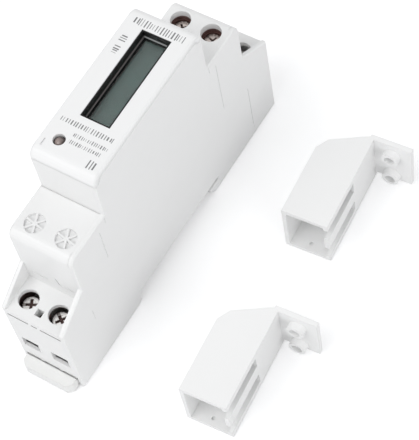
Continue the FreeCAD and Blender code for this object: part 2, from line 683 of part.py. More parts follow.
def window_lens():
    """Clear pane of the display window."""
    lens_top = FRONT_HEIGHT - LENS_DEPTH
    return window_ring(LENS_LEDGE - BEZEL_GAP, lens_top - LENS_THICKNESS, lens_top)


def lcd_module():
    """Liquid crystal display cell."""
    lcd_top = FRONT_HEIGHT - LCD_DEPTH
    return window_ring(LCD_LEDGE - BEZEL_GAP, lcd_top - LCD_THICKNESS, lcd_top)


def lcd_pins():
    """Row of contact pins from the display down to the face of the main board."""
    top = FRONT_HEIGHT - LCD_DEPTH - LCD_THICKNESS
    pitch = LCD_PIN_ROW_LENGTH / (LCD_PINS - 1)
    start = WINDOW_Y - LCD_PIN_ROW_LENGTH / 2
    x1 = BOARD_FACE + LCD_PIN_SIZE
    pins = []
    for index in range(LCD_PINS):
        y = start + index * pitch
        pins.append(box(BOARD_FACE, x1, y, y + LCD_PIN_SIZE, BOARD_TOP - LCD_PIN_OVERLAP, top))
    return Part.makeCompound(pins)


def pulse_led():
    """Round pulse lamp with a domed top, a foot flange and two leads down to the main board."""
    top = FRONT_HEIGHT - LED_DEPTH
    base = top - LED_LENGTH
    profile = [(0, 0), (0, LED_FLANGE_RADIUS), (LED_FLANGE_HEIGHT, LED_FLANGE_RADIUS), (LED_FLANGE_HEIGHT, LED_RADIUS)]
    shoulder = LED_LENGTH - LED_RADIUS
    for step in range(LED_DOME_STEPS):
        angle = math.pi / 2 * step / LED_DOME_STEPS
        profile.append((shoulder + LED_RADIUS * math.sin(angle), LED_RADIUS * math.cos(angle)))
    profile.append((LED_LENGTH, 0))
    pieces = [turned(Vector(LED_X, LED_Y, base), Vector(0, 0, 1), profile)]
    low = LEVEL_CEILING - BOARD_GAP - LED_LEAD_OVERLAP
    for side in (-1, 1):
        y = LED_Y + side * LED_LEAD_PITCH / 2
        pieces.append(box(BOARD_FACE, BOARD_FACE + LED_LEAD, y - LED_LEAD / 2, y + LED_LEAD / 2, low, base))
    return fuse_all(pieces)


def main_board():
    """Circuit board that stands along the left wall on four posts."""
    shoulder = LEVEL_CEILING - BOARD_GAP
    low = peg_places()[0][0] + PEG_BOSS_RADIUS + BOARD_GAP
    high = peg_places()[1][0] - PEG_BOSS_RADIUS - BOARD_GAP
    step = PULSE_BLOCK_BACK - BOARD_GAP
    foot = PULSE_BLOCK_BASE - RIB - BOARD_GAP
    outline = [
        (BOARD_LOW, BOARD_BOTTOM),
        (BOARD_LOW, shoulder),
        (low, shoulder),
        (low, BOARD_TOP),
        (high, BOARD_TOP),
        (high, shoulder),
        (step, shoulder),
        (step, foot),
        (BOARD_HIGH, foot),
        (BOARD_HIGH, BOARD_BOTTOM),
    ]
    board = side_plate(outline, BOARD_X, BOARD_FACE)
    for y, z in board_places():
        board = board.cut(rod(PIN_RADIUS + PIN_GAP, Vector(BOARD_X, y, z), Vector(BOARD_FACE, y, z)))
    return board


def on_board(place, width, height, depth):
    """Block on the face of the main board, centred on a (y, z) place."""
    y, z = place
    return box(BOARD_FACE, BOARD_FACE + depth, y - width / 2, y + width / 2, z - height / 2, z + height / 2)


def chip(place, sizes, four_sides):
    """Flat chip on the main board, with leads on two or on four sides."""
    y, z = place
    width, height, depth = sizes
    pieces = [on_board((y, z), width, height, depth)]
    lead = CHIP_LEAD
    count = int((width - CHIP_LEAD_PITCH) / CHIP_LEAD_PITCH)
    first = -CHIP_LEAD_PITCH * (count - 1) / 2
    for index in range(count):
        along = first + index * CHIP_LEAD_PITCH
        pieces.append(on_board((y + along, z), lead, height + 2 * CHIP_LEAD_REACH, lead))
        if four_sides:
            pieces.append(on_board((y, z + along), width + 2 * CHIP_LEAD_REACH, lead, lead))
    return fuse_all(pieces)


def crystal():
    """Clock crystal in a flat can with round ends."""
    y, z = CRYSTAL_Y, CRYSTAL_Z
    length, height, depth = CRYSTAL_SIZE
    radius = height / 2
    can = on_board((y, z), length - height, height, depth)
    for side in (-1, 1):
        end = y + side * (length - height) / 2
        can = can.fuse(rod(radius, Vector(BOARD_FACE, end, z), Vector(BOARD_FACE + depth, end, z)))
    return can.removeSplitter()


def film_capacitor():
    """Moulded film capacitor of the supply."""
    body = on_board((FILM_CAPACITOR_Y, FILM_CAPACITOR_Z), *FILM_CAPACITOR_SIZE)
    return body.makeChamfer(BODY_EDGE, [e for e in body.Edges if e.BoundBox.XMin > BOARD_FACE + BODY_EDGE])


def electrolytic_capacitor():
    """Round can standing on the board, with a rolled groove near its foot."""
    radius, length = ELECTROLYTIC_RADIUS, ELECTROLYTIC_LENGTH
    groove = length / 6
    profile = [
        (0, 0),
        (0, radius),
        (groove, radius),
        (groove + BODY_EDGE, radius - BODY_EDGE),
        (groove + 2 * BODY_EDGE, radius),
        (length - BODY_EDGE, radius),
        (length, radius - BODY_EDGE),
        (length, 0),
    ]
    return turned(Vector(BOARD_FACE, ELECTROLYTIC_Y, BOARD_BOTTOM + ELECTROLYTIC_RISE), Vector(1, 0, 0), profile)


def varistor():
    """Disc varistor on two leads, with its flat sides across the board."""
    y, z, radius, thickness = VARISTOR_Y, VARISTOR_Z, VARISTOR_RADIUS, VARISTOR_THICKNESS
    x = BOARD_FACE + VARISTOR_LIFT + radius
    disc = barrel(Vector(x, y - thickness / 2, z), Vector(0, 1, 0), thickness, radius, BODY_EDGE)
    pieces = [disc]
    half = WIRE_RADIUS
    for side in (-1, 1):
        lead_z = z + side * radius / 2
        pieces.append(box(BOARD_FACE, x, y - half, y + half, lead_z - half, lead_z + half))
    return fuse_all(pieces)


def fuse_resistor():
    """Fusible resistor lying along the board, with both leads bent down to it."""
    y, z = RESISTOR_Y, BOARD_BOTTOM + RESISTOR_RISE
    radius, length = RESISTOR_RADIUS, RESISTOR_LENGTH
    x = BOARD_FACE + BODY_EDGE + radius
    low = y - length / 2
    pieces = [barrel(Vector(x, low, z), Vector(0, 1, 0), length, radius, BODY_EDGE)]
    half = WIRE_RADIUS
    reach = length / 2 + 2 * WIRE_RADIUS
    pieces.append(box(x - half, x + half, y - reach, y + reach, z - half, z + half))
    for side in (-1, 1):
        y0, y1 = span(y + side * reach, -side * 2 * half)
        pieces.append(box(BOARD_FACE, x + half, y0, y1, z - half, z + half))
    return fuse_all(pieces)


def bar(x, y0, y1):
    """Flat current bar along the module."""
    half = BAR_WIDTH / 2
    return box(x - half, x + half, y0, y1, BAR_BOTTOM, BAR_TOP)


def sense_pins():
    """Two pins from the ends of the shunt up the face of the main board."""
    pins = []
    top = BOARD_BOTTOM + SENSE_OVERLAP
    for side in (-1, 1):
        y = side * (SHUNT_LENGTH - SENSE_PIN) / 2
        pins.append(box(BOARD_FACE, BOARD_FACE + SENSE_PIN, y - SENSE_PIN / 2, y + SENSE_PIN / 2, BAR_TOP, top))
    return Part.makeCompound(pins)


def neutral_tap():
    """Strip from the neutral bar across to the main board."""
    x1 = TERMINAL_X + TAP_THICKNESS
    top = BAR_TOP + TAP_RISE
    y0 = TAP_Y - TAP_WIDTH / 2
    y1 = TAP_Y + TAP_WIDTH / 2
    leg = box(TERMINAL_X, x1, y0, y1, BAR_TOP, top)
    return fuse_all([leg, box(BOARD_FACE, x1, y0, y1, top - TAP_THICKNESS, top)])


def barrier(end, level, inward):
    """Insulating plate between the two terminals of one chamber, notched under the catch hole."""
    y0, y1 = sorted((end + inward * WALL, level))
    floor = FLOOR_Z if inward > 0 else WALL
    plate = box(-BARRIER / 2, BARRIER / 2, y0, y1, floor, POCKET_CEILING)
    c0, c1 = span(end, inward * (CATCH_INSET + CATCH_SIZE))
    return plate.cut(box(-BARRIER, BARRIER, c0, c1, POCKET_HEIGHT - CATCH_DEPTH - SEAT_GAP, POCKET_HEIGHT))


def terminal_screw(x, y, top, tip, radius, head_radius, head_length):
    """Terminal screw with a cylinder head and a combined slot and cross drive."""
    shank = rod(radius, Vector(x, y, tip), Vector(x, y, top - head_length))
    head = rod(head_radius, Vector(x, y, top - head_length), Vector(x, y, top))
    head = head.makeChamfer(SCREW_HEAD_EDGE, [e for e in head.Edges if e.BoundBox.ZMin > top - SCREW_HEAD_EDGE])
    screw = shank.fuse(head)
    half = DRIVE_WIDTH / 2
    depth = top - DRIVE_DEPTH
    slot = box(x - head_radius, x + head_radius, y - half, y + half, depth, top)
    reach = DRIVE_CROSS * head_radius
    cross = box(x - half, x + half, y - reach, y + reach, depth, top)
    return screw.cut(slot).cut(cross).removeSplitter()


def cage(x, y, width, length, wall, bottom, floor, underside, top, bore):
    """Rising cage: a ring open along the module, with a thick tapped top for the screw."""
    half = width / 2
    body = box(x - half, x + half, y - length / 2, y + length / 2, floor - bottom, top)
    inside = box(x - half + wall, x + half - wall, y - length / 2, y + length / 2, floor, underside)
    hole = rod(bore, Vector(x, y, underside), Vector(x, y, top))
    return body.cut(inside).cut(hole)


def supply_cage(x, y):
    """Cage of a supply terminal at its open, lowest place."""
    underside = BAR_TOP + CAGE_GAP
    top = underside + CAGE_TOP
    bore = SCREW_RADIUS + THREAD_GAP
    return cage(x, y, CAGE_WIDTH, CAGE_LENGTH, CAGE_WALL, CAGE_BOTTOM, CAGE_FLOOR, underside, top, bore)


def pulse_cage(x):
    """Cage of a pulse terminal at its open, lowest place."""
    underside = PULSE_CAGE_HIGH - PULSE_CAGE_TOP
    wall = PULSE_CAGE_WALL
    bore = PULSE_SCREW_RADIUS + THREAD_GAP
    size = (PULSE_CAGE_WIDTH, PULSE_CAGE_LENGTH)
    return cage(x, PULSE_Y, *size, wall, wall, PULSE_CAGE_FLOOR, underside, PULSE_CAGE_HIGH, bore)


def pulse_block():
    """Two-way terminal block under the upper second level, on the shelf in the housing."""
    half = INNER_X - PULSE_BLOCK_GAP
    front = PULSE_BLOCK_BACK + PULSE_BLOCK_LENGTH
    top = min(LEVEL_HEIGHT - PULSE_SLEEVE_DEPTH, LEVEL_CEILING - inner_bevel()) - PULSE_BLOCK_GAP
    block = box(-half, half, PULSE_BLOCK_BACK, front, PULSE_BLOCK_BASE, top)
    cell_top = PULSE_SCREW_TOP - PULSE_HEAD_LENGTH - TIP_GAP
    cell = PULSE_CAGE_WIDTH / 2 + TIP_GAP
    cell_length = PULSE_CAGE_LENGTH / 2 + CAGE_GAP
    entry = PULSE_ENTRY / 2
    strip = PULSE_STRIP_WIDTH / 2
    cell_floor = PULSE_BLOCK_BASE + PULSE_BLOCK_BOTTOM
    entry_base = PULSE_ENTRY_TOP - PULSE_ENTRY
    strip_base = PULSE_STRIP_TOP - PULSE_STRIP
    cuts = []
    for x in (-TERMINAL_X, TERMINAL_X):
        cuts.append(box(x - cell, x + cell, PULSE_Y - cell_length, PULSE_Y + cell_length, cell_floor, cell_top))
        cuts.append(rod(PULSE_HEAD_RADIUS + TIP_GAP, Vector(x, PULSE_Y, cell_top), Vector(x, PULSE_Y, top)))
        cuts.append(box(x - entry, x + entry, PULSE_Y, front, entry_base, PULSE_ENTRY_TOP))
        cuts.append(box(x - strip, x + strip, PULSE_BLOCK_BACK, PULSE_Y, strip_base, PULSE_STRIP_TOP))
    return block.cut(Part.makeCompound(cuts))


def pulse_leads():
    """Contact strips of the pulse terminals, bent down behind the block to the main board."""
    leads = []
    front = PULSE_Y + PULSE_CAGE_LENGTH / 2
    back = PULSE_BLOCK_BACK - TIP_GAP - PULSE_STRIP
    base = PULSE_STRIP_TOP - PULSE_STRIP
    half = PULSE_STRIP_WIDTH / 2
    for index, x in enumerate((-TERMINAL_X, TERMINAL_X)):
        foot = base - PULSE_LEAD_DROP * (index + 1) / 2
        strip = box(x - half, x + half, back, front, base, PULSE_STRIP_TOP)
        leg = box(x - half, x + half, back, back + PULSE_STRIP, foot, PULSE_STRIP_TOP)
        foot_bar = box(BOARD_FACE, x + half, back, back + PULSE_STRIP, foot, foot + PULSE_STRIP_WIDTH)
        tip = back - PULSE_STRIP_WIDTH
        pad = box(BOARD_FACE, BOARD_FACE + PULSE_STRIP, tip, back + PULSE_STRIP, foot, foot + PULSE_STRIP_WIDTH)
        leads.append(fuse_all([strip, leg, foot_bar, pad]))
    return Part.makeCompound(leads)


def din_clip():
    """Sliding rail clip: a flat tongue with a bevelled nose, two side arms, a stop slot and a thick pull tab."""
    base = CLIP_TOP - CLIP_THICKNESS
    nose = -HOOK_TIP_Y
    outer = END_LOW - CLIP_REACH
    plate = box(-CLIP_HALF, CLIP_HALF, END_LOW, nose, base, CLIP_TOP)
    wedge = [(nose - CLIP_THICKNESS, base), (nose, base), (nose, base + CLIP_THICKNESS / 2)]
    plate = plate.cut(side_plate(wedge, -CLIP_HALF, CLIP_HALF))
    tab = plan_prism(
        [
            (-CLIP_HALF, END_LOW + CLIP_CORNER),
            (-CLIP_HALF, outer + CLIP_CORNER),
            (-CLIP_HALF + CLIP_CORNER, outer),
            (CLIP_HALF - CLIP_CORNER, outer),
            (CLIP_HALF, outer + CLIP_CORNER),
            (CLIP_HALF, END_LOW + CLIP_CORNER),
        ],
        base,
        base + CLIP_THICKNESS,
    )
    handle = box(-CLIP_HALF, CLIP_HALF, outer, END_LOW - STOP_GAP, GUIDE_GAP, GUIDE_GAP + CLIP_HANDLE)
    handle = handle.common(plan_prism(
        [
            (-CLIP_HALF, END_LOW),
            (-CLIP_HALF, outer + CLIP_CORNER),
            (-CLIP_HALF + CLIP_CORNER, outer),
            (CLIP_HALF - CLIP_CORNER, outer),
            (CLIP_HALF, outer + CLIP_CORNER),
            (CLIP_HALF, END_LOW),
        ],
        0,
        SEAT_HEIGHT,
    ))
    clip = fuse_all([plate, tab, handle])
    arm_end = END_LOW + CLIP_ARM_LENGTH
    cuts = []
    for side in (-1, 1):
        x0, x1 = sorted((side * (CLIP_HALF - CLIP_ARM), side * (CLIP_HALF - CLIP_ARM - CLIP_SLOT)))
        cuts.append(box(x0, x1, END_LOW + CLIP_ARM_GAP, arm_end + CLIP_ARM_GAP, 0, SEAT_HEIGHT))
        x0, x1 = sorted((side * CLIP_HALF, side * (CLIP_HALF - CLIP_ARM - CLIP_SLOT)))
        cuts.append(box(x0, x1, arm_end, arm_end + CLIP_ARM_GAP, 0, SEAT_HEIGHT))
    half = STOP_WIDTH / 2 + STOP_GAP
    slot_end = STOP_Y + STOP_LENGTH + CLIP_TRAVEL + STOP_GAP
    cuts.append(box(-half, half, STOP_Y - STOP_GAP, slot_end, 0, SEAT_HEIGHT))
    return clip.cut(Part.makeCompound(cuts))


def terminal_cover(place):
    """Terminal cover lying on its side: a box open at one end, two wire slots and a flange with two plugs."""
    short_side = COVER_SHORT_LENGTH
    slope = (COVER_LENGTH - short_side) / COVER_DEPTH
    corner_y = short_side + slope * COVER_CORNER
    outline = [
        (-COVER_DEPTH, 0),
        (-COVER_DEPTH, short_side - COVER_CORNER / 2),
        (-COVER_DEPTH + COVER_CORNER, corner_y + COVER_CORNER / 2),
        (0, COVER_LENGTH),
    ]
    flange = [(0, COVER_LENGTH), (COVER_FLANGE, COVER_LENGTH), (COVER_FLANGE, COVER_LENGTH - COVER_FLANGE_THICKNESS)]
    shell = plan_prism(outline + [(0, 0)], 0, COVER_WIDTH)
    root = [(-COVER_WALL, COVER_LENGTH - COVER_FLANGE_THICKNESS), (-COVER_WALL, COVER_LENGTH)]
    plate = plan_prism(root + flange[1:], COVER_FLANGE_FOOT, COVER_WIDTH)
    wall = COVER_WALL
    inner = [
        (-COVER_DEPTH + wall, -wall),
        (-COVER_DEPTH + wall, short_side - COVER_CORNER / 2 - wall / 2),
        (-COVER_DEPTH + COVER_CORNER + wall / 2, corner_y + COVER_CORNER / 2 - wall),
        (-wall, COVER_LENGTH - wall * 3 / 2),
        (-wall, -wall),
    ]
    cover = fuse_all([shell.cut(plan_prism(inner, wall, COVER_WIDTH - wall)), plate])
    middle = COVER_WIDTH / 2
    cuts = []
    bosses = []
    for side in (-1, 1):
        z = middle + side * TERMINAL_X
        cuts.append(box(-wall, 0, 0, COVER_SLOT_LENGTH, z - COVER_SLOT / 2, z + COVER_SLOT / 2))
        root = Vector(TERMINAL_INSET, COVER_LENGTH - COVER_FLANGE_THICKNESS, z)
        tip = root - Vector(0, COVER_BOSS_LENGTH, 0)
        bosses.append(rod(COVER_BOSS_RADIUS, tip, root).cut(rod(COVER_BOSS_BORE, tip, root)))
    mark = Vector(-COVER_DEPTH / 2, COVER_CORNER, wall)
    cuts.append(rod(COVER_PIN_MARK, mark - Vector(0, 0, wall / 2), mark))
    cover = fuse_all([cover.cut(Part.makeCompound(cuts))] + bosses)
    cover.rotate(Vector(0, 0, 0), Vector(0, 0, 1), COVER_TURN)
    cover.translate(Vector(place[0], place[1], 0))
    return cover


def main():
    """Build every piece and write it."""
    os.makedirs("parts", exist_ok=True)
    write("housing_body", housing_body())
    write("side_cover", side_cover())
    write("front_panel", front_panel())
    write("lcd_bezel", lcd_bezel())
    write("window_lens", window_lens())
    write("lcd_module", lcd_module())
    write("lcd_pins", lcd_pins())
    write("pulse_led", pulse_led())
    write("main_board", main_board())
    write("metering_chip", chip((METERING_CHIP_Y, METERING_CHIP_Z), METERING_CHIP_SIZE, False))
    write("display_driver", chip((DISPLAY_DRIVER_Y, DISPLAY_DRIVER_Z), DISPLAY_DRIVER_SIZE, True))
    write("opto_coupler", on_board((OPTO_COUPLER_Y, BOARD_BOTTOM + OPTO_COUPLER_RISE), *OPTO_COUPLER_SIZE))
    write("crystal", crystal())
    write("film_capacitor", film_capacitor())
    write("electrolytic_capacitor", electrolytic_capacitor())
    write("varistor", varistor())
    write("fuse_resistor", fuse_resistor())
    low = END_LOW + BAR_INSET
    high = END_HIGH - BAR_INSET
    write("lower_live_bar", bar(-TERMINAL_X, low, -SHUNT_LENGTH / 2))
    write("shunt", bar(-TERMINAL_X, -SHUNT_LENGTH / 2, SHUNT_LENGTH / 2))
    write("upper_live_bar", bar(-TERMINAL_X, SHUNT_LENGTH / 2, high))
    write("neutral_bar", bar(TERMINAL_X, low, high))
    write("sense_pins", sense_pins())
    write("neutral_tap", neutral_tap())
    supply = (SCREW_TOP, BAR_TOP + TIP_GAP, SCREW_RADIUS, SCREW_HEAD_RADIUS, SCREW_HEAD_LENGTH)
    for row, (end, level, inward) in zip(("lower", "upper"), ends()):
        write(row + "_barrier", barrier(end, level, inward))
        y = end + inward * TERMINAL_INSET
        for side, x in (("left", -TERMINAL_X), ("right", TERMINAL_X)):
            write(row + "_" + side + "_screw", terminal_screw(x, y, *supply))
            write(row + "_" + side + "_cage", supply_cage(x, y))
    write("pulse_block", pulse_block())
    write("pulse_leads", pulse_leads())
    pulse = (PULSE_SCREW_TOP, PULSE_STRIP_TOP + TIP_GAP, PULSE_SCREW_RADIUS, PULSE_HEAD_RADIUS, PULSE_HEAD_LENGTH)
    for side, x in (("left", -TERMINAL_X), ("right", TERMINAL_X)):
        write("pulse_" + side + "_screw", terminal_screw(x, PULSE_Y, *pulse))
        write("pulse_" + side + "_cage", pulse_cage(x))
    write("din_clip", din_clip())
    write("terminal_cover_1", terminal_cover((UPPER_COVER_X, UPPER_COVER_Y)))
    write("terminal_cover_2", terminal_cover((LOWER_COVER_X, LOWER_COVER_Y)))


main()
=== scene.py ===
import math

import bmesh
import bpy
from mathutils import Matrix, Vector


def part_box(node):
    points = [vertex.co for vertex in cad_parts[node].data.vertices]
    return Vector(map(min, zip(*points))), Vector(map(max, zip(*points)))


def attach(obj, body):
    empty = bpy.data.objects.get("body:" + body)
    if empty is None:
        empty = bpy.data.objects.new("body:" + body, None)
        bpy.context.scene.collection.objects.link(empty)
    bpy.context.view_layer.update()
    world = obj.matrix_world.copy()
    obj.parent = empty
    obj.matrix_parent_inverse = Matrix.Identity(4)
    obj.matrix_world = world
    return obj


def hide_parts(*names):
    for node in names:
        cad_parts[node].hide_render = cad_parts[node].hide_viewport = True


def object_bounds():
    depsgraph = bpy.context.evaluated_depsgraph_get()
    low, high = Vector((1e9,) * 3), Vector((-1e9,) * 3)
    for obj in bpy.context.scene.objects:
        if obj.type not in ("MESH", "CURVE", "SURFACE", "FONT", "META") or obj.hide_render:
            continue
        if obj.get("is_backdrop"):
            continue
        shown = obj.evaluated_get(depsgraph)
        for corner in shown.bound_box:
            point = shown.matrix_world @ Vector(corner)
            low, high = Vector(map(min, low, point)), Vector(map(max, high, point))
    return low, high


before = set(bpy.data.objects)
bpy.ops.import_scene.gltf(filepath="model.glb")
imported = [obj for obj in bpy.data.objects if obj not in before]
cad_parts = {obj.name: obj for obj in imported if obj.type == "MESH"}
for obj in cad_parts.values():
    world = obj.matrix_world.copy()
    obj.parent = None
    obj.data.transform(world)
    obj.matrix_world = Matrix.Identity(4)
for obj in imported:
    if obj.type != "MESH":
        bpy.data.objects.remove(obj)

CAD_LOW, CAD_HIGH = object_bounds()

# Studio
# A pale table under a plain white backdrop. The table keeps the soft shadow under the meter,
# one wide lamp stands over the front, and two weaker ones light the far end and the right side.
MM = 0.001
TABLE_SIZE = 3.0
TABLE_GAP = 0.2 * MM
TABLE_LIFT = 0.26
ROOM_TINT = (0.98, 0.99, 1.0)
ROOM_LIGHT = 0.62
# place, width and power of each lamp
FRONT_LAMP = ((-0.22, -0.55, 0.84), 0.8, 4.6)
FAR_LAMP = ((0.10, 0.80, 0.60), 0.6, 1.2)
SIDE_LAMP = ((0.85, -0.25, 0.35), 0.6, 1.9)
LAMP_TARGET = (0.02, 0.0, 0.02)
LENS = 132.497
CAMERA_PLACE = (0.157857, -0.146963, 0.365804)
CAMERA_RIGHT = (0.849067, 0.515098, -0.117298)
CAMERA_UP = (-0.400932, 0.772883, 0.491839)
CAMERA_BACK = (0.344003, -0.370576, 0.862749)


def put(socket, value):
    """Links a socket to another one, or sets its constant."""
    if isinstance(value, bpy.types.NodeSocket):
        socket.id_data.links.new(value, socket)
    elif socket.type == "RGBA":
        socket.default_value = (*value[:3], 1.0)
    else:
        socket.default_value = value


def add(tree, kind, inputs=(), **settings):
    """New node with its settings made and its inputs linked or set."""
    node = tree.nodes.new(kind)
    for label, value in settings.items():
        setattr(node, label, value)
    for label, value in dict(inputs).items():
        put(node.inputs[label], value)
    return node


def maths(tree, operation, *values):
    """Math node on sockets or plain numbers; gives its result."""
    return add(tree, "ShaderNodeMath", enumerate(values), operation=operation).outputs["Value"]


def blend(tree, factor, first, second):
    """Mix of two colours, given as sockets or plain colours."""
    inputs = {"Factor": factor, "A": first, "B": second}
    return add(tree, "ShaderNodeMix", inputs, data_type="RGBA").outputs["Result"]


def noise(tree, place, scale, detail=2.0):
    """Cloudy pattern round one half."""
    inputs = {"Vector": place, "Scale": scale, "Detail": detail}
    return add(tree, "ShaderNodeTexNoise", inputs).outputs["Fac"]


def new_material(name, gloss=0.5):
    """Node material with its tree, its surface and its place coordinates."""
    material = bpy.data.materials.new(name)
    material.use_nodes = True
    tree = material.node_tree
    surface = tree.nodes["Principled BSDF"]
    surface.inputs["Specular IOR Level"].default_value = gloss
    return material, tree, surface, add(tree, "ShaderNodeTexCoord").outputs["Object"]


def new_piece(name, data):
    """Object with its data, in the scene."""
    piece = bpy.data.objects.new(name, data)
    bpy.context.scene.collection.objects.link(piece)
    return piece


def table_finish():
    """Pale matt laminate, lifted a little for the camera so that it meets the backdrop."""
    material, tree, laminate, place = new_material("pale_table")
    laminate.inputs["Roughness"].default_value = 0.9
    tone = blend(tree, noise(tree, place, 40.0), (0.86, 0.86, 0.865), (0.84, 0.84, 0.845))
    put(laminate.inputs["Base Color"], tone)
    rays = add(tree, "ShaderNodeLightPath").outputs
    lift = maths(tree, "MULTIPLY", rays["Is Camera Ray"], TABLE_LIFT)
    glow = add(tree, "ShaderNodeEmission", {"Strength": lift})
    both = add(tree, "ShaderNodeAddShader", {0: laminate.outputs["BSDF"], 1: glow.outputs["Emission"]})
    put(tree.nodes["Material Output"].inputs["Surface"], both.outputs["Shader"])
    return material


table_mesh = bpy.data.meshes.new("table")
half = TABLE_SIZE / 2
corners = [(-half, -half, 0), (half, -half, 0), (half, half, 0), (-half, half, 0)]
table_mesh.from_pydata(corners, [], [(0, 1, 2, 3)])
table_mesh.materials.append(table_finish())
table = new_piece("table", table_mesh)
table.location.z = CAD_LOW.z - TABLE_GAP
table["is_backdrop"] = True


def white_room():
    """Soft grey light all round, seen as plain white by the camera, in gloss and through glass."""
    world = bpy.data.worlds.new("white_room")
    world.use_nodes = True
    tree = world.node_tree
    light = tree.nodes["Background"]
    put(light.inputs["Color"], ROOM_TINT)
    put(light.inputs["Strength"], ROOM_LIGHT)
    white = add(tree, "ShaderNodeBackground", {"Color": (1.0, 1.0, 1.0), "Strength": 1.0})
    rays = add(tree, "ShaderNodeLightPath").outputs
    seen = maths(tree, "MAXIMUM", rays["Is Camera Ray"], rays["Is Glossy Ray"])
    seen = maths(tree, "MAXIMUM", seen, rays["Is Transmission Ray"])
    views = {0: seen, 1: light.outputs["Background"], 2: white.outputs["Background"]}
    choose = add(tree, "ShaderNodeMixShader", views)
    put(tree.nodes["World Output"].inputs["Surface"], choose.outputs["Shader"])
    return world


def softbox(name, place, size, power):
    """Square lamp with a diffuser, aimed at the meter."""
    lamp = bpy.data.lights.new(name, "AREA")
    lamp.size = size
    lamp.energy = power
    stand = new_piece(name, lamp)
    stand.location = place
    stand.rotation_mode = "QUATERNION"
    stand.rotation_quaternion = (Vector(LAMP_TARGET) - Vector(place)).to_track_quat("-Z", "Y")


bpy.context.scene.world = white_room()
softbox("front_lamp", *FRONT_LAMP)
softbox("far_lamp", *FAR_LAMP)
softbox("side_lamp", *SIDE_LAMP)

# The camera stands as it stood for the photograph, in front of the lower right corner.
camera_data = bpy.data.cameras.new("camera")
camera_data.lens = LENS
camera_data.sensor_width = 36.0
camera_data.clip_start = 0.01
camera_data.clip_end = 10.0
camera = new_piece("camera", camera_data)
camera.matrix_world = Matrix.Translation(CAMERA_PLACE) @ Matrix(
    (CAMERA_RIGHT, CAMERA_UP, CAMERA_BACK)).transposed().to_4x4()
bpy.context.scene.camera = camera
bpy.context.scene.view_settings.view_transform = "Standard"

# Housing tub
# The tub is injection moulded in white flame-retardant polycarbonate, in a tool with a fine
# spark-eroded grain. It carries the left wall, the stepped front and the rail notch.
HOUSING_LIGHT = (0.84, 0.84, 0.838)
HOUSING_SHADE = (0.815, 0.815, 0.812)
MIDDLE_Y = 2.2 * MM
END_FACE = 47.6 * MM
# colour of the painted shade inside the cover slits
SLIT_SHADE = (0.26, 0.25, 0.245)
SLIT_MIDDLE = 25.6 * MM
SLIT_REACH = 7.8 * MM
# colour of the painted brown shade in the terminal chambers and pulse screw wells
BROWN_SHADE = (0.10, 0.030, 0.022)
# soft limits of the painted brown shade in mm, each from unshaded to shaded
CHAMBER_ACROSS = ((8.0, 7.9), (1.1, 1.3))
CHAMBER_ALONG = ((-45.15, -45.05), (-32.7, -32.9))
CHAMBER_UP = ((26.6, 26.0), (18.5, 19.5))
WELL_REACH = (2.9, 2.8)
WELL_UP = ((46.6, 46.2), (43.0, 43.5))
WELL_PLACE = (4.4 * MM, 32.2 * MM)
# bends at the second levels: where they start, their foot and their radius
STEP_BENDS = {"Start": 34.4 * MM, "Foot": 45.0 * MM, "Radius": 0.5 * MM}
BEND_FADE, FOOT_FADE = 0.8 * MM, 0.5 * MM
SOFT_EDGE = 0.12 * MM
BEVEL_SAMPLES = 4
RELIEF = 0.02 * MM
VECTORS = ("Place", "Streaks", "Normal")
COLOURS = ("Light", "Shade", "Color", "Clean", "Body", "Tin")


def new_group(name, inputs, outputs):
    """Empty shader group; gives the sockets that it is given and the ones that it has to feed."""
    group = bpy.data.node_groups.new(name, "ShaderNodeTree")
    for way, labels in (("INPUT", inputs), ("OUTPUT", outputs)):
        for label in labels:
            kind = "Vector" if label in VECTORS else "Color" if label in COLOURS else "Float"
            group.interface.new_socket(name=label, in_out=way, socket_type="NodeSocket" + kind)
    return group, add(group, "NodeGroupInput").outputs, add(group, "NodeGroupOutput").inputs


def ramp(tree, value, low, high, start=0.0, end=1.0):
    """Smooth change from one number to another while a value passes from low to high."""
    inputs = {"Value": value, "From Min": low, "From Max": high, "To Min": start, "To Max": end}
    return add(tree, "ShaderNodeMapRange", inputs, interpolation_type="SMOOTHSTEP").outputs["Result"]


def product(tree, first, *masks):
    """Product of masks."""
    for mask in masks:
        first = maths(tree, "MULTIPLY", first, mask)
    return first


def apart(tree, value, middle):
    """Distance of a coordinate from a middle."""
    return maths(tree, "ABSOLUTE", maths(tree, "SUBTRACT", value, middle))


def axes(tree, place):
    """The three coordinates of a place."""
    return tuple(add(tree, "ShaderNodeSeparateXYZ", {0: place}).outputs)


def vector(tree, x=0.0, y=0.0, z=0.0):
    """Vector of three coordinates, given as sockets or plain numbers."""
    return add(tree, "ShaderNodeCombineXYZ", {"X": x, "Y": y, "Z": z}).outputs["Vector"]


def vector_maths(tree, operation, *values):
    """Vector math node; gives its vector, or its value where the operation measures."""
    result = "Value" if operation in ("LENGTH", "DISTANCE") else "Vector"
    return add(tree, "ShaderNodeVectorMath", enumerate(values), operation=operation).outputs[result]


def soft_relief(group, given, height):
    """Normal of soft edges with a fine relief over them."""
    edge = add(group, "ShaderNodeBevel", {"Radius": given["Edge"]}, samples=BEVEL_SAMPLES).outputs["Normal"]
    inputs = {"Strength": given["Depth"], "Distance": RELIEF, "Height": height, "Normal": edge}
    return add(group, "ShaderNodeBump", inputs).outputs["Normal"]


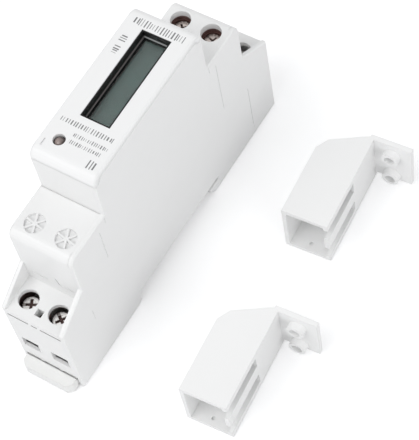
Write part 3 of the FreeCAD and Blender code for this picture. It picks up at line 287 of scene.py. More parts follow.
def moulded_finish():
    """Tool grain, faint clouding of the pigment and soft edges of an injection moulding."""
    group, given, made = new_group(
        "moulded_finish", ("Place", "Light", "Shade", "Grain", "Depth", "Edge", "Roughness"),
        ("Color", "Roughness", "Normal"))
    cloud = noise(group, given["Place"], 55.0, 3.0)
    grain = noise(group, given["Place"], given["Grain"], 3.0)
    flow = noise(group, given["Place"], 420.0)
    put(made["Color"], blend(group, cloud, given["Light"], given["Shade"]))
    sheen = ramp(group, flow, 0.3, 0.7, -0.05, 0.05)
    patch = ramp(group, cloud, 0.3, 0.7, -0.03, 0.03)
    put(made["Roughness"], maths(group, "ADD", maths(group, "ADD", sheen, patch), given["Roughness"]))
    put(made["Normal"], soft_relief(group, given, grain))
    return group


def bent_ends():
    """Edge radius that grows over the rounded bends at both ends, above a height."""
    group, given, made = new_group("bent_ends", ("Place", "Start", "Foot", "Middle", "Radius"), ("Edge",))
    _, y, z = axes(group, given["Place"])
    start, foot = given["Start"], given["Foot"]
    outer = ramp(group, apart(group, y, MIDDLE_Y), start, maths(group, "ADD", start, BEND_FADE))
    above = ramp(group, z, foot, maths(group, "ADD", foot, FOOT_FADE))
    put(made["Edge"], ramp(group, product(group, outer, above), 0.0, 1.0, given["Middle"], given["Radius"]))
    return group


def painted_well_shade():
    """Painted brown shade in the lower terminal chambers and at the foot of the pulse screw wells."""
    group, given, made = new_group("painted_well_shade", ("Place", "Clean"), ("Color",))
    x, y, z = axes(group, given["Place"])

    def inside(value, *limits):
        """Mask of the places where a coordinate is within soft limits in mm."""
        return product(group, *(ramp(group, value, low * MM, high * MM) for low, high in limits))

    across = maths(group, "ABSOLUTE", x)
    chamber = product(group, inside(across, *CHAMBER_ACROSS), inside(y, *CHAMBER_ALONG),
                      inside(z, *CHAMBER_UP), 0.85)
    away = apart(group, y, MIDDLE_Y)
    spot = vector(group, *(maths(group, "SUBTRACT", *pair) for pair in zip((across, away), WELL_PLACE)))
    well = product(group, inside(vector_maths(group, "LENGTH", spot), WELL_REACH), inside(z, *WELL_UP))
    # painted shade: brown darkening of the chambers and wells, where they lie in shade
    shade_amount = ramp(group, maths(group, "MAXIMUM", chamber, well), 0.0, 1.0, 0.0, 0.95)
    put(made["Color"], blend(group, shade_amount, given["Clean"], BROWN_SHADE))
    return group


MOULDED = moulded_finish()
BENT_ENDS = bent_ends()
WELL_SHADE_GROUP = painted_well_shade()


def use_finish(tree, surface, group, **inputs):
    """Places a finish group in a material and leads its outputs to the surface."""
    finish = add(tree, "ShaderNodeGroup", inputs, node_tree=group)
    for label, output in finish.outputs.items():
        target = surface.inputs.get("Base Color" if label == "Color" else label)
        if target:
            put(target, output)
    return finish


def moulded(name, light, shade, roughness=0.45, grain=4200.0, depth=0.25, edge=SOFT_EDGE, gloss=0.45):
    """Moulded plastic with its own tint, polish and grain, open for more effects."""
    material, tree, surface, place = new_material(name, gloss)
    finish = use_finish(tree, surface, MOULDED, Place=place, Light=light, Shade=shade, Grain=grain,
                        Depth=depth, Edge=edge, Roughness=roughness)
    return material, tree, surface, place, finish


def moulded_plastic(name, light, shade, **values):
    """Plain moulded plastic."""
    return moulded(name, light, shade, **values)[0]


def dress(material, *names):
    """Gives CAD nodes their finish."""
    for name in names:
        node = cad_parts[name]
        if not node.material_slots:
            node.data.materials.append(material)
        for slot in node.material_slots:
            slot.material = material


def round_bends(tree, place, finish, bends):
    """Wider rounding on the bends at both ends."""
    inputs = {"Place": place, "Middle": SOFT_EDGE, **bends}
    bends = add(tree, "ShaderNodeGroup", inputs, node_tree=BENT_ENDS)
    put(finish.inputs["Edge"], bends.outputs["Edge"])


def housing_plastic():
    """Housing white with rounded bends at the second levels and painted shade in the cover slits."""
    material, tree, surface, place, finish = moulded("housing_white", HOUSING_LIGHT, HOUSING_SHADE)
    round_bends(tree, place, finish, STEP_BENDS)
    x, y, z = axes(tree, place)
    away = apart(tree, y, MIDDLE_Y)
    # painted shade: the faces inside the cover slits are darkened, where shade falls in them
    slit_shade = product(tree, ramp(tree, away, END_FACE - 0.01 * MM, END_FACE - 0.08 * MM),
                    ramp(tree, away, 46.0 * MM, 46.1 * MM),
                    ramp(tree, maths(tree, "ABSOLUTE", x), SLIT_REACH + 0.1 * MM, SLIT_REACH),
                    ramp(tree, apart(tree, z, SLIT_MIDDLE), 0.34 * MM, 0.31 * MM))
    shade_from = blend(tree, slit_shade, finish.outputs["Color"], SLIT_SHADE)
    # the painted brown shade of the chambers and wells goes over this colour
    use_finish(tree, surface, WELL_SHADE_GROUP, Place=place, Clean=shade_from)
    return material


HOUSING_WHITE = housing_plastic()
dress(HOUSING_WHITE, "housing_body")

# Current bars
# Two live bars, the neutral bar and its tap are punched from rolled copper strip. The shunt that
# is welded between the live bars is a dull manganese alloy.


def worked_metal():
    """Rolling or turning streaks, tarnish patches and soft edges of a metal piece."""
    group, given, made = new_group(
        "worked_metal", ("Place", "Streaks", "Light", "Shade", "Tarnish", "Depth", "Edge", "Roughness"),
        ("Color", "Roughness", "Normal"))
    streak = noise(group, vector_maths(group, "MULTIPLY", given["Place"], given["Streaks"]), 1.0, 4.0)
    patch = noise(group, given["Place"], 260.0)
    tone = blend(group, streak, given["Light"], given["Shade"])
    dull = maths(group, "MULTIPLY", ramp(group, patch, 0.42, 0.72), given["Tarnish"])
    stain = blend(group, 0.6, given["Shade"], (0.08, 0.06, 0.05))
    put(made["Color"], blend(group, dull, tone, stain))
    wear = maths(group, "MULTIPLY_ADD", dull, 0.25, ramp(group, streak, 0.3, 0.7, -0.06, 0.08))
    put(made["Roughness"], maths(group, "ADD", wear, given["Roughness"]))
    put(made["Normal"], soft_relief(group, given, streak))
    return group


WORKED = worked_metal()


def metal(name, light, shade, streaks, roughness=0.35, tarnish=0.4):
    """Bare or plated metal with streaks along its working direction."""
    material, tree, surface, place = new_material(name)
    surface.inputs["Metallic"].default_value = 1.0
    use_finish(tree, surface, WORKED, Place=place, Streaks=streaks, Light=light, Shade=shade,
               Tarnish=tarnish, Depth=0.2, Edge=0.1 * MM, Roughness=roughness)
    return material


dress(metal("rolled_copper", (0.82, 0.46, 0.31), (0.62, 0.33, 0.22), (6000, 160, 6000)),
      "lower_live_bar", "upper_live_bar", "neutral_bar", "neutral_tap")
dress(metal("shunt_alloy", (0.50, 0.41, 0.33), (0.38, 0.31, 0.26), (5000, 200, 5000), roughness=0.5),
      "shunt")
GOLD_PLATE = metal("gold_plate", (0.88, 0.66, 0.32), (0.74, 0.54, 0.25), (2500, 2500, 300), roughness=0.25,
                   tarnish=0.15)
dress(GOLD_PLATE, "sense_pins")

# Terminal cages
# Each clamp is a cage bent from thick steel strip and zinc plated. It hangs on its screw and
# pulls the wire up against the bar. Its colour is painted dark grey, as painted shade in the wire entries.
# painted shade: the cages are coloured far darker than zinc so that the wire entries look dark
SHADED_CAGE_ZINC = metal("cage_zinc_painted_shade", (0.17, 0.16, 0.15), (0.10, 0.095, 0.09), (2600, 2600, 260), roughness=0.42,
                  tarnish=0.6)
for end in ("lower", "upper", "pulse"):
    dress(SHADED_CAGE_ZINC, f"{end}_left_cage", f"{end}_right_cage")

# Terminal screws
# Six clamp screws are cold headed from steel, with a rolled thread and a combined slot and cross
# drive. The four supply screws are nickel plated, the two pulse screws yellow chromated.
SCREW_SIZES = ("Head Radius", "Head Length", "Head Edge", "Core Radius", "Thread Radius", "Length", "Pitch",
               "Slot Width", "Slot Depth", "Cross Reach", "Turn")
THREAD_RIDGE = 0.33
SHARP_EDGE = math.radians(32)
# from unshaded to shaded: depth of the drive, reach of its painted shade and of the painted shade on the
# rim
DRIVE_DEPTH = (-0.20 * MM, -0.75 * MM)
DRIVE_REACH = (2.2 * MM, 2.1 * MM)
RIM_REACH = 2.3 * MM


def new_geometry(name, inputs):
    """Empty geometry tree; gives the sockets that it is given and the one that it has to feed."""
    tree = bpy.data.node_groups.new(name, "GeometryNodeTree")
    for label, kind in inputs:
        tree.interface.new_socket(name=label, in_out="INPUT", socket_type="NodeSocket" + kind)
    tree.interface.new_socket(name="Geometry", in_out="OUTPUT", socket_type="NodeSocketGeometry")
    return tree, add(tree, "NodeGroupInput").outputs, add(tree, "NodeGroupOutput").inputs["Geometry"]


def screw_tree():
    """One screw, head up, made with its top face at nought, then turned and moved to its place."""
    tree, size, made = new_geometry("terminal_screw", [(label, "Float") for label in SCREW_SIZES]
                                    + [("Top", "Vector"), ("Plating", "Material")])

    def times(value, factor):
        """Product of two numbers."""
        return maths(tree, "MULTIPLY", value, factor)

    def less(first, second):
        """Difference of two numbers."""
        return maths(tree, "SUBTRACT", first, second)

    def node(kind, inputs, output="Geometry", **settings):
        """One output of a new geometry node."""
        return add(tree, "GeometryNode" + kind, inputs, **settings).outputs[output]

    def moved(geometry, place, **turn):
        """Geometry moved and, where a turn is given, turned."""
        return node("Transform", {"Geometry": geometry, "Translation": place, **turn})

    def up(z):
        """Vector along the screw's axis."""
        return vector(tree, z=z)

    # Head: a drum whose top ring is drawn in and whose middle ring moves up under it as its edge
    drum = node("MeshCylinder", {"Vertices": 48, "Side Segments": 2, "Radius": size["Head Radius"],
                                 "Depth": size["Head Length"]}, "Mesh")
    spot = node("InputPosition", (), "Position")
    height = axes(tree, spot)[2]
    quarter = times(size["Head Length"], 0.25)
    pull = maths(tree, "DIVIDE", times(size["Head Edge"], -1.0), size["Head Radius"])
    inward = vector_maths(tree, "MULTIPLY", spot, vector(tree, pull, pull))
    drawn = node("SetPosition", {"Geometry": drum, "Offset": inward,
                                 "Selection": maths(tree, "GREATER_THAN", height, quarter)})
    lift = less(times(size["Head Length"], 0.5), size["Head Edge"])
    middle_ring = maths(tree, "LESS_THAN", maths(tree, "ABSOLUTE", height), quarter)
    blank = node("SetPosition", {"Geometry": drawn, "Offset": up(lift), "Selection": middle_ring})

    # Drive: a slot right across, a deeper cross and a tapered pit in their middle
    drive = add(tree, "GeometryNodeMeshBoolean", {"Self Intersection": True}, operation="DIFFERENCE",
                solver="EXACT")
    put(drive.inputs["Mesh 1"], moved(blank, up(times(size["Head Length"], -0.5))))
    across = times(size["Cross Reach"], 2.0)
    narrow = times(size["Slot Width"], 0.93)
    deep = times(size["Slot Depth"], 2.0)
    less_deep = times(size["Slot Depth"], 1.9)
    through = vector(tree, times(size["Head Radius"], 2.2), size["Slot Width"], size["Slot Depth"])
    slot = node("MeshCube", {"Size": through}, "Mesh")
    cross = node("MeshCube", {"Size": vector(tree, narrow, across, deep)}, "Mesh")
    along = node("MeshCube", {"Size": vector(tree, across, narrow, less_deep)}, "Mesh")
    pit = node("MeshCone", {"Vertices": 16, "Radius Top": size["Slot Width"], "Depth": less_deep,
                            "Radius Bottom": times(size["Slot Width"], 0.25)}, "Mesh")
    for cutter in (slot, cross, along, moved(pit, up(times(size["Slot Depth"], -1.2)))):
        put(drive.inputs["Mesh 2"], cutter)

    # Shank: a core with a pointed tip and a right-hand thread wound round it
    tip = times(size["Core Radius"], 0.4)
    shaft = less(less(size["Length"], size["Head Length"]), tip)
    core = node("MeshCylinder", {"Vertices": 24, "Radius": size["Core Radius"], "Depth": shaft}, "Mesh")
    middle = less(times(shaft, -0.5), size["Head Length"])
    point = node("MeshCone", {"Vertices": 24, "Radius Top": size["Core Radius"], "Depth": tip,
                              "Radius Bottom": times(size["Core Radius"], 0.7)}, "Mesh")
    half_wire = times(size["Pitch"], THREAD_RIDGE)
    ridge = less(size["Thread Radius"], half_wire)
    helix = node("CurveSpiral", {"Resolution": 20, "Rotations": maths(tree, "DIVIDE", shaft, size["Pitch"]),
                                 "Start Radius": ridge, "End Radius": ridge, "Height": shaft}, "Curve")
    wire = node("CurvePrimitiveCircle", {"Resolution": 6, "Radius": half_wire}, "Curve")
    thread = node("CurveToMesh", {"Curve": helix, "Profile Curve": wire, "Fill Caps": True}, "Mesh")
    foot = times(maths(tree, "ADD", shaft, size["Head Length"]), -1.0)
    join = add(tree, "GeometryNodeJoinGeometry")
    for piece in (drive.outputs["Mesh"], moved(core, up(middle)),
                  moved(point, up(times(size["Length"], -1.0))), moved(thread, up(foot))):
        put(join.inputs["Geometry"], piece)

    # Place from the screw's own axis, for its turned finish, then its place in the meter
    own = {"Geometry": join.outputs["Geometry"], "Name": "turned", "Value": spot}
    kept = node("StoreNamedAttribute", own, data_type="FLOAT_VECTOR")
    bend = {"A": node("InputMeshEdgeAngle", (), "Unsigned Angle"), "B": SHARP_EDGE}
    bend = add(tree, "FunctionNodeCompare", bend, data_type="FLOAT", operation="LESS_THAN")
    smooth = node("SetShadeSmooth", {"Geometry": kept, "Shade Smooth": True})
    smooth = {"Geometry": smooth, "Shade Smooth": bend.outputs["Result"]}
    smooth = node("SetShadeSmooth", smooth, domain="EDGE")
    placed = moved(smooth, size["Top"], Rotation=up(size["Turn"]))
    plain = node("RealizeInstances", {"Geometry": placed})
    put(made, node("SetMaterial", {"Geometry": plain, "Material": size["Plating"]}))
    return tree


def from_tree(name, tree, start=None, **values):
    """Runs a geometry tree with its inputs set and keeps the result as a plain piece."""
    holder = new_piece(name + "_made", start or bpy.data.meshes.new(name + "_start"))
    run = holder.modifiers.new("tree", "NODES")
    run.node_group = tree
    for socket in tree.interface.items_tree:
        if socket.in_out == "INPUT" and socket.name in values:
            run[socket.identifier] = values[socket.name]
    mesh = bpy.data.meshes.new_from_object(holder.evaluated_get(bpy.context.evaluated_depsgraph_get()))
    holder.modifiers.remove(run)
    bpy.data.objects.remove(holder)
    mesh.validate()
    mesh.name = name
    return new_piece(name, mesh)


def screw_plating(name, light, shade, recess_shade, roughness, shade_from):
    """Turned and plated face with painted shade in the drive and, outside a given radius, on the rim."""
    material, tree, surface, _ = new_material(name)
    own = add(tree, "ShaderNodeAttribute", attribute_name="turned").outputs["Vector"]
    depth = axes(tree, own)[2]
    radius = vector_maths(tree, "LENGTH", vector_maths(tree, "MULTIPLY", own, (1, 1, 0)))
    finish = use_finish(tree, surface, WORKED, Place=vector(tree, radius, 0.0, depth),
                        Streaks=(9000, 1, 3000), Light=light, Shade=shade, Tarnish=0.3, Depth=0.25,
                        Edge=SOFT_EDGE, Roughness=roughness)
    # painted shade: darker and less metallic down in the drive and on the rim, where the well shades the
    # head
    drive = product(tree, ramp(tree, depth, *DRIVE_DEPTH), ramp(tree, radius, *DRIVE_REACH))
    rim = product(tree, ramp(tree, radius, shade_from, RIM_REACH),
                  ramp(tree, noise(tree, own, 1900.0), 0.35, 0.55))
    drive_and_rim_shade = maths(tree, "MAXIMUM", drive, rim)
    put(surface.inputs["Base Color"], blend(tree, drive_and_rim_shade, finish.outputs["Color"], recess_shade))
    put(surface.inputs["Metallic"], ramp(tree, drive_and_rim_shade, 0.0, 1.0, 0.85, 0.25))
    return material


SCREW = screw_tree()
# the third colour of each plating is its painted shade in the drive and on the rim
NICKEL = screw_plating("nickel_plate", (0.97, 0.96, 0.94), (0.80, 0.77, 0.75), (0.10, 0.055, 0.048), 0.30,
                       1.9 * MM)
CHROMATE = screw_plating("yellow_chromate", (0.98, 0.95, 0.92), (0.62, 0.48, 0.43), (0.07, 0.030, 0.024),
                         0.34, 0.9 * MM)
SUPPLY = {"Plating": NICKEL}
PULSE = {"Plating": CHROMATE}
for label, supply, pulse in (
        ("Head Radius", 2.4, 2.3), ("Head Length", 2.4, 1.5), ("Head Edge", 0.3, 0.25),
        ("Core Radius", 1.72, 1.08), ("Thread Radius", 2.0, 1.3), ("Length", 9.6, 4.8), ("Pitch", 0.7, 0.5),
        ("Slot Width", 0.8, 0.5), ("Slot Depth", 0.9, 0.7), ("Cross Reach", 1.55, 1.3)):
    SUPPLY[label], PULSE[label] = supply * MM, pulse * MM
TURNS = {"lower_left": 0.45, "lower_right": -0.6, "upper_left": 1.1, "upper_right": 0.2,
         "pulse_left": 0.75, "pulse_right": -0.3}
for seat, turn in TURNS.items():
    low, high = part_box(seat + "_screw")
    top = ((low[0] + high[0]) / 2, (low[1] + high[1]) / 2, high[2])
    sizes = PULSE if seat.startswith("pulse") else SUPPLY
    screw = from_tree(seat + "_clamp_screw", SCREW, Top=top, Turn=turn, **sizes)
    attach(screw, seat + "_screw")
    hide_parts(seat + "_screw")

# Barriers and pulse block
# Glass-filled polyamide in a greyer white: two plates between the live and neutral terminals and
# the small block that carries the pulse terminals, with their tinned leads.


def filled_polyamide():
    """Greyer and coarser white, with the painted shade of the wells."""
    material, tree, surface, place, finish = moulded(
        "filled_polyamide", (0.74, 0.74, 0.71), (0.66, 0.66, 0.63), roughness=0.55, grain=2600.0,
        depth=0.35)
    # painted brown shade of the wells over the polyamide colour
    use_finish(tree, surface, WELL_SHADE_GROUP, Place=place, Clean=finish.outputs["Color"])
    return material


dress(filled_polyamide(), "lower_barrier", "upper_barrier", "pulse_block")
dress(metal("tinned_wire", (0.78, 0.77, 0.74), (0.62, 0.61, 0.58), (2500, 400, 2500), roughness=0.3,
            tarnish=0.2), "pulse_leads")

# Main board
# Glass-epoxy laminate with copper tracks under green solder mask, routed to shape and clipped on
# four posts. The sawn edges show the pale laminate.
BOARD_LEFT, BOARD_FACE = -6.6 * MM, -5.0 * MM
TRACK_SCALE = 230.0


def circuit_board():
    """Tracks and tinned pads under solder mask, with the sawn laminate at the edges."""
    material, tree, surface, place = new_material("circuit_board")
    cells = {"Vector": place, "Scale": TRACK_SCALE, "Randomness": 0.55}
    track = add(tree, "ShaderNodeTexVoronoi", cells, feature="DISTANCE_TO_EDGE").outputs["Distance"]
    track = ramp(tree, track, 0.05, 0.03)
    pad = ramp(tree, add(tree, "ShaderNodeTexVoronoi", cells).outputs["Distance"], 0.16, 0.14)
    mask = blend(tree, track, (0.012, 0.085, 0.035), (0.03, 0.17, 0.07))
    mask = blend(tree, pad, mask, (0.55, 0.54, 0.50))
    x = axes(tree, place)[0]
    sawn = ramp(tree, apart(tree, x, (BOARD_LEFT + BOARD_FACE) / 2), 0.79 * MM, 0.78 * MM)
    laminate = blend(tree, noise(tree, place, 1800.0), (0.52, 0.47, 0.26), (0.36, 0.33, 0.18))
    put(surface.inputs["Base Color"], blend(tree, sawn, mask, laminate))
    put(surface.inputs["Roughness"], ramp(tree, sawn, 0.0, 1.0, 0.3, 0.8))
    relief = add(tree, "ShaderNodeBump", {"Distance": 0.03 * MM, "Strength": 0.5, "Height": track})
    put(surface.inputs["Normal"], relief.outputs["Normal"])
    return material


dress(circuit_board(), "main_board")

# Solder joints
# Every lead of the board ends in a small tin cone on the side towards the left wall, made in the
# solder wave.
TIP_LEFT = (0.0, -math.pi / 2, 0.0)
# y and z of the leads in mm
JOINT_PLACES = ([(-4.475 + 2.0 * pin, 52.4) for pin in range(12)]
                + [(y, 18.3) for y in (-5.65, 5.65)] + [(-15.45, 45.0), (-14.15, 45.0)]
                + [(5.5, 26.1), (15.5, 26.1), (-24.75, 29.8), (-21.25, 29.8), (-14.5, 27.0), (-9.5, 27.0)]
                + [(-6.2, 26.4), (1.4, 26.4), (-15.9, 34.1), (-11.1, 34.1)]
                + [(20.7, 30.4), (23.3, 30.4), (20.7, 35.6), (23.3, 35.6)])


def solder_tree():
    """One cone of solder on every given point, its tip towards the left wall."""
    tree, given, made = new_geometry("solder_joints", (
        ("Geometry", "Geometry"), ("Foot Radius", "Float"), ("Tip Radius", "Float"), ("Height", "Float"),
        ("Solder", "Material")))
    cone = add(tree, "GeometryNodeMeshCone", {"Vertices": 12, "Radius Bottom": given["Foot Radius"],
                                              "Radius Top": given["Tip Radius"], "Depth": given["Height"]})
    cones = {"Points": given["Geometry"], "Instance": cone.outputs["Mesh"], "Rotation": TIP_LEFT}
    spread = add(tree, "GeometryNodeInstanceOnPoints", cones)
    plain = add(tree, "GeometryNodeRealizeInstances", {"Geometry": spread.outputs["Instances"]})
    tinned = add(tree, "GeometryNodeSetMaterial", {"Geometry": plain.outputs["Geometry"],
                                                   "Material": given["Solder"]})
    put(made, tinned.outputs["Geometry"])
    return tree


joint_points = bpy.data.meshes.new("joint_points")
joint_points.from_pydata([(BOARD_LEFT, y * MM, z * MM) for y, z in JOINT_PLACES], [], [])
solder = metal("solder", (0.74, 0.74, 0.74), (0.55, 0.55, 0.55), (1500, 1500, 1500), roughness=0.28,
               tarnish=0.3)
joints = from_tree("solder_joints", solder_tree(), joint_points, **{
    "Foot Radius": 0.75 * MM, "Tip Radius": 0.3 * MM, "Height": 0.55 * MM, "Solder": solder})
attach(joints, "meter")

# Chips
# The metering chip, the display driver and the opto-coupler are moulded in black epoxy, with
# tinned leads soldered flat to the board and a polished dimple beside the first lead.


def tinned_leads():
    """Body colour that gives way to bright tin where the leads are."""
    group, given, made = new_group("tinned_leads", ("Body", "Tin", "Leads"), ("Color", "Metallic"))
    put(made["Color"], blend(group, given["Leads"], given["Body"], given["Tin"]))
    put(made["Metallic"], given["Leads"])
    return group


LEADS = tinned_leads()
DIMPLE_RADIUS = 0.38 * MM
DIMPLE_INSET = 0.7 * MM


def chip_epoxy(name, half_width, half_height):
    """Black epoxy body with tinned leads beyond its two half sizes in mm along and up the board."""
    low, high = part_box(name)
    material, tree, surface, place, finish = moulded(
        name + "_epoxy", (0.022, 0.022, 0.024), (0.035, 0.035, 0.036), roughness=0.55, grain=6000.0,
        depth=0.6, edge=0.1 * MM, gloss=0.4)
    _, y, z = axes(tree, place)
    sides, corner = [], []
    for axis, value, half in ((1, y, half_width * MM), (2, z, half_height * MM)):
        value = maths(tree, "SUBTRACT", value, (low[axis] + high[axis]) / 2)
        sides.append(ramp(tree, maths(tree, "ABSOLUTE", value), half, half + 0.02 * MM))
        corner.append(maths(tree, "SUBTRACT", value, DIMPLE_INSET - half))
    leads = maths(tree, "MAXIMUM", *sides)
    away = vector_maths(tree, "LENGTH", vector(tree, *corner))
    dimple = ramp(tree, away, DIMPLE_RADIUS, DIMPLE_RADIUS - 0.04 * MM)
    body = blend(tree, dimple, finish.outputs["Color"], (0.05, 0.05, 0.052))
    use_finish(tree, surface, LEADS, Body=body, Tin=(0.72, 0.71, 0.68), Leads=leads)
    bright = maths(tree, "MAXIMUM", leads, dimple)
    bright = maths(tree, "MULTIPLY_ADD", bright, -0.25, finish.outputs["Roughness"])
    put(surface.inputs["Roughness"], bright)
    return material


for name, half_width, half_height in (
        ("metering_chip", 5.1, 2.7), ("display_driver", 4.0, 4.0), ("opto_coupler", 2.4, 3.3)):
    dress(chip_epoxy(name, half_width, half_height), name)

# Crystal
# The quartz that times the metering chip sits in a drawn can, nickel plated, resistance welded to
# its base and soldered down flat.
dress(metal("crystal_can", (0.74, 0.72, 0.68), (0.60, 0.58, 0.55), (700, 2400, 2400), roughness=0.27,
            tarnish=0.15), "crystal")

# Capacitors of the supply
# The dropper capacitor is wound film in a yellow moulded case. The reservoir capacitor is an
# aluminium can with a shrunk sleeve, a pale stripe on its negative side and a scored top.
CAN_TOP = 6.0 * MM
LID_RADIUS = 3.3 * MM
DASH_PITCH = 2.6 * MM
dress(moulded_plastic("film_case", (0.80, 0.50, 0.05), (0.70, 0.42, 0.035), roughness=0.35, grain=2500.0,
                      depth=0.2), "film_capacitor")


def sleeved_can():
    """Dark sleeve with a dashed pale stripe, round a bare lid with a scored cross."""
    low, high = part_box("electrolytic_capacitor")
    material, tree, surface, place, finish = moulded(
        "sleeved_can", (0.015, 0.028, 0.075), (0.012, 0.02, 0.05), roughness=0.28, grain=2200.0, depth=0.2,
        edge=0.15 * MM, gloss=0.5)
    x, y, z = axes(tree, place)
    across = maths(tree, "SUBTRACT", y, (low[1] + high[1]) / 2)
    up = maths(tree, "SUBTRACT", z, (low[2] + high[2]) / 2)
    angle = maths(tree, "ABSOLUTE", maths(tree, "ARCTAN2", up, across))
    stripe = ramp(tree, angle, 0.42, 0.39)
    dash = ramp(tree, maths(tree, "FRACT", maths(tree, "DIVIDE", x, DASH_PITCH)), 0.34, 0.32)
    dash = product(tree, dash, ramp(tree, angle, 0.12, 0.10))
    radius = vector_maths(tree, "LENGTH", vector(tree, across, up))
    lid = product(tree, ramp(tree, radius, LID_RADIUS + 0.05 * MM, LID_RADIUS),
                  ramp(tree, x, CAN_TOP, CAN_TOP + 0.1 * MM))
    score = maths(tree, "MINIMUM", maths(tree, "ABSOLUTE", across), maths(tree, "ABSOLUTE", up))
    score = product(tree, ramp(tree, score, 0.14 * MM, 0.04 * MM), lid)
    sleeve = blend(tree, stripe, finish.outputs["Color"], (0.50, 0.53, 0.58))
    sleeve = blend(tree, dash, sleeve, (0.015, 0.025, 0.06))
    put(surface.inputs["Base Color"], blend(tree, lid, sleeve, (0.72, 0.72, 0.73)))
    put(surface.inputs["Metallic"], lid)
    sunk = {"Distance": 0.1 * MM, "Height": score, "Normal": finish.outputs["Normal"]}
    put(surface.inputs["Normal"], add(tree, "ShaderNodeBump", sunk, invert=True).outputs["Normal"])
    return material


dress(sleeved_can(), "electrolytic_capacitor")

# Varistor and fuse resistor
# The varistor is a pressed zinc-oxide disc dipped in blue epoxy. The fuse resistor is wound on a
# ceramic rod and coated in flameproof cement with painted bands. Both stand on tinned leads.
BAND_WIDTH = 0.6 * MM


def leaded(name, light, shade, roughness, axis, lead_from, lead_to, bands=()):
    """Coated body with painted bands, whose leads show where one coordinate leaves its range."""
    material, tree, surface, place, finish = moulded(name, light, shade, roughness=roughness, grain=900.0,
                                                     depth=0.8, edge=0.2 * MM, gloss=0.5)
    value = axes(tree, place)[axis]
    leads = maths(tree, "MAXIMUM", ramp(tree, value, lead_from, lead_from - 0.05 * MM),
                  ramp(tree, value, lead_to, lead_to + 0.05 * MM))
    body = finish.outputs["Color"]
    for middle, paint in bands:
        band = ramp(tree, apart(tree, value, middle), BAND_WIDTH / 2, BAND_WIDTH / 2 - 0.04 * MM)
        body = blend(tree, band, body, paint)
    use_finish(tree, surface, LEADS, Body=body, Tin=(0.74, 0.73, 0.70), Leads=leads)
    return material


low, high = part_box("varistor")
dress(leaded("varistor_epoxy", (0.02, 0.10, 0.34), (0.015, 0.07, 0.26), 0.22, 0, low[0] + 1.0 * MM,
             high[0] + 1.0 * MM), "varistor")
low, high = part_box("fuse_resistor")
middle = (low[1] + high[1]) / 2
PAINTS = ((-2.2, (0.30, 0.12, 0.03)), (-1.1, (0.02, 0.02, 0.02)), (0.0, (0.02, 0.02, 0.02)),
          (2.2, (0.60, 0.42, 0.10)))
dress(leaded("resistor_cement", (0.18, 0.30, 0.22), (0.14, 0.24, 0.18), 0.6, 1, middle - 3.5 * MM,
             middle + 3.5 * MM, [(middle + shift * MM, paint) for shift, paint in PAINTS]), "fuse_resistor")

# Display
# A reflective liquid crystal cell: two glass plates with a polariser, held under the window and
# wired to the board by gold-plated pins. With no supply it is blank.
# half sizes of the cell inside the painted shade of the frame
CELL_HALF = (3.0 * MM, 12.6 * MM)
dress(GOLD_PLATE, "lcd_pins")


def blank_cell():
    """Green-grey polariser, rubbed along the meter, with painted shade of the frame along its border."""
    low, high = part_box("lcd_module")
    material, tree, surface, place = new_material("blank_display", 0.35)
    x, y, _ = axes(tree, place)
    rub = noise(tree, vector_maths(tree, "MULTIPLY", place, (5200.0, 240.0, 1.0)), 1.0)
    cloud = noise(tree, place, 120.0)
    tone = blend(tree, cloud, (0.046, 0.112, 0.096), (0.036, 0.094, 0.080))
    rub = maths(tree, "MULTIPLY", ramp(tree, rub, 0.35, 0.7), 0.12)
    tone = blend(tree, rub, tone, (0.056, 0.122, 0.106))
    # painted shade: the border of the cell is darkened where the frame shades it
    side = ramp(tree, apart(tree, x, (low[0] + high[0]) / 2), CELL_HALF[0], CELL_HALF[0] + 0.6 * MM)
    end = ramp(tree, apart(tree, y, (low[1] + high[1]) / 2), CELL_HALF[1], CELL_HALF[1] + 0.5 * MM)
    frame_shade = maths(tree, "MAXIMUM", side, end)
    put(surface.inputs["Base Color"], blend(tree, frame_shade, tone, (0.022, 0.030, 0.028)))
    put(surface.inputs["Roughness"], ramp(tree, cloud, 0.3, 0.7, 0.16, 0.26))
    return material


dress(blank_cell(), "lcd_module")

# Window frame
# The black frame is moulded in polycarbonate with a satin tool finish and pressed up into the
# window from behind, where it holds the pane and the display.
dress(moulded_plastic("frame_black", (0.004, 0.004, 0.004), (0.008, 0.008, 0.008), roughness=0.3,
                      grain=3800.0, depth=0.3, gloss=0.25), "lcd_bezel")

# Window pane
# Clear acrylic, diamond milled: its face is sunk inside a narrow frosted slope where it meets the
# lip of the frame. The long slopes are painted darker than the end slopes, as painted shade.
PANE_LIP = (-3.2 * MM, 4.2 * MM, -6.7 * MM, 19.3 * MM)
PANE_SLOPE = 0.32 * MM
PANE_SINK = 0.12 * MM


def finished(mesh, name):
    """Plain mesh data from an edited mesh."""
    data = bpy.data.meshes.new(name)
    mesh.to_mesh(data)
    mesh.free()
    return data


def pane_mesh():
    """Plate with a sunk face; its end slopes take the second material, its long slopes the third."""
    low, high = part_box("window_lens")
    x0, x1, y0, y1 = PANE_LIP
    edge = (low[0], high[0], low[1], high[1])
    sunk = (x0 + PANE_SLOPE, x1 - PANE_SLOPE, y0 + PANE_SLOPE, y1 - PANE_SLOPE)
    rings = ((edge, low[2]), (edge, high[2]), (PANE_LIP, high[2]), (sunk, high[2] - PANE_SINK))
    mesh = bmesh.new()
    loops = []
    for (a, b, c, d), z in rings:
        loops.append([mesh.verts.new(corner) for corner in ((a, c, z), (b, c, z), (b, d, z), (a, d, z))])
    mesh.faces.new(list(reversed(loops[0])))
    for index, (below, above) in enumerate(zip(loops, loops[1:])):
        for corner in range(4):
            follow = (corner + 1) % 4
            face = mesh.faces.new((below[corner], below[follow], above[follow], above[corner]))
            face.material_index = 1 + corner % 2 if index == 2 else 0
    mesh.faces.new(loops[-1])
    return finished(mesh, "window_pane")





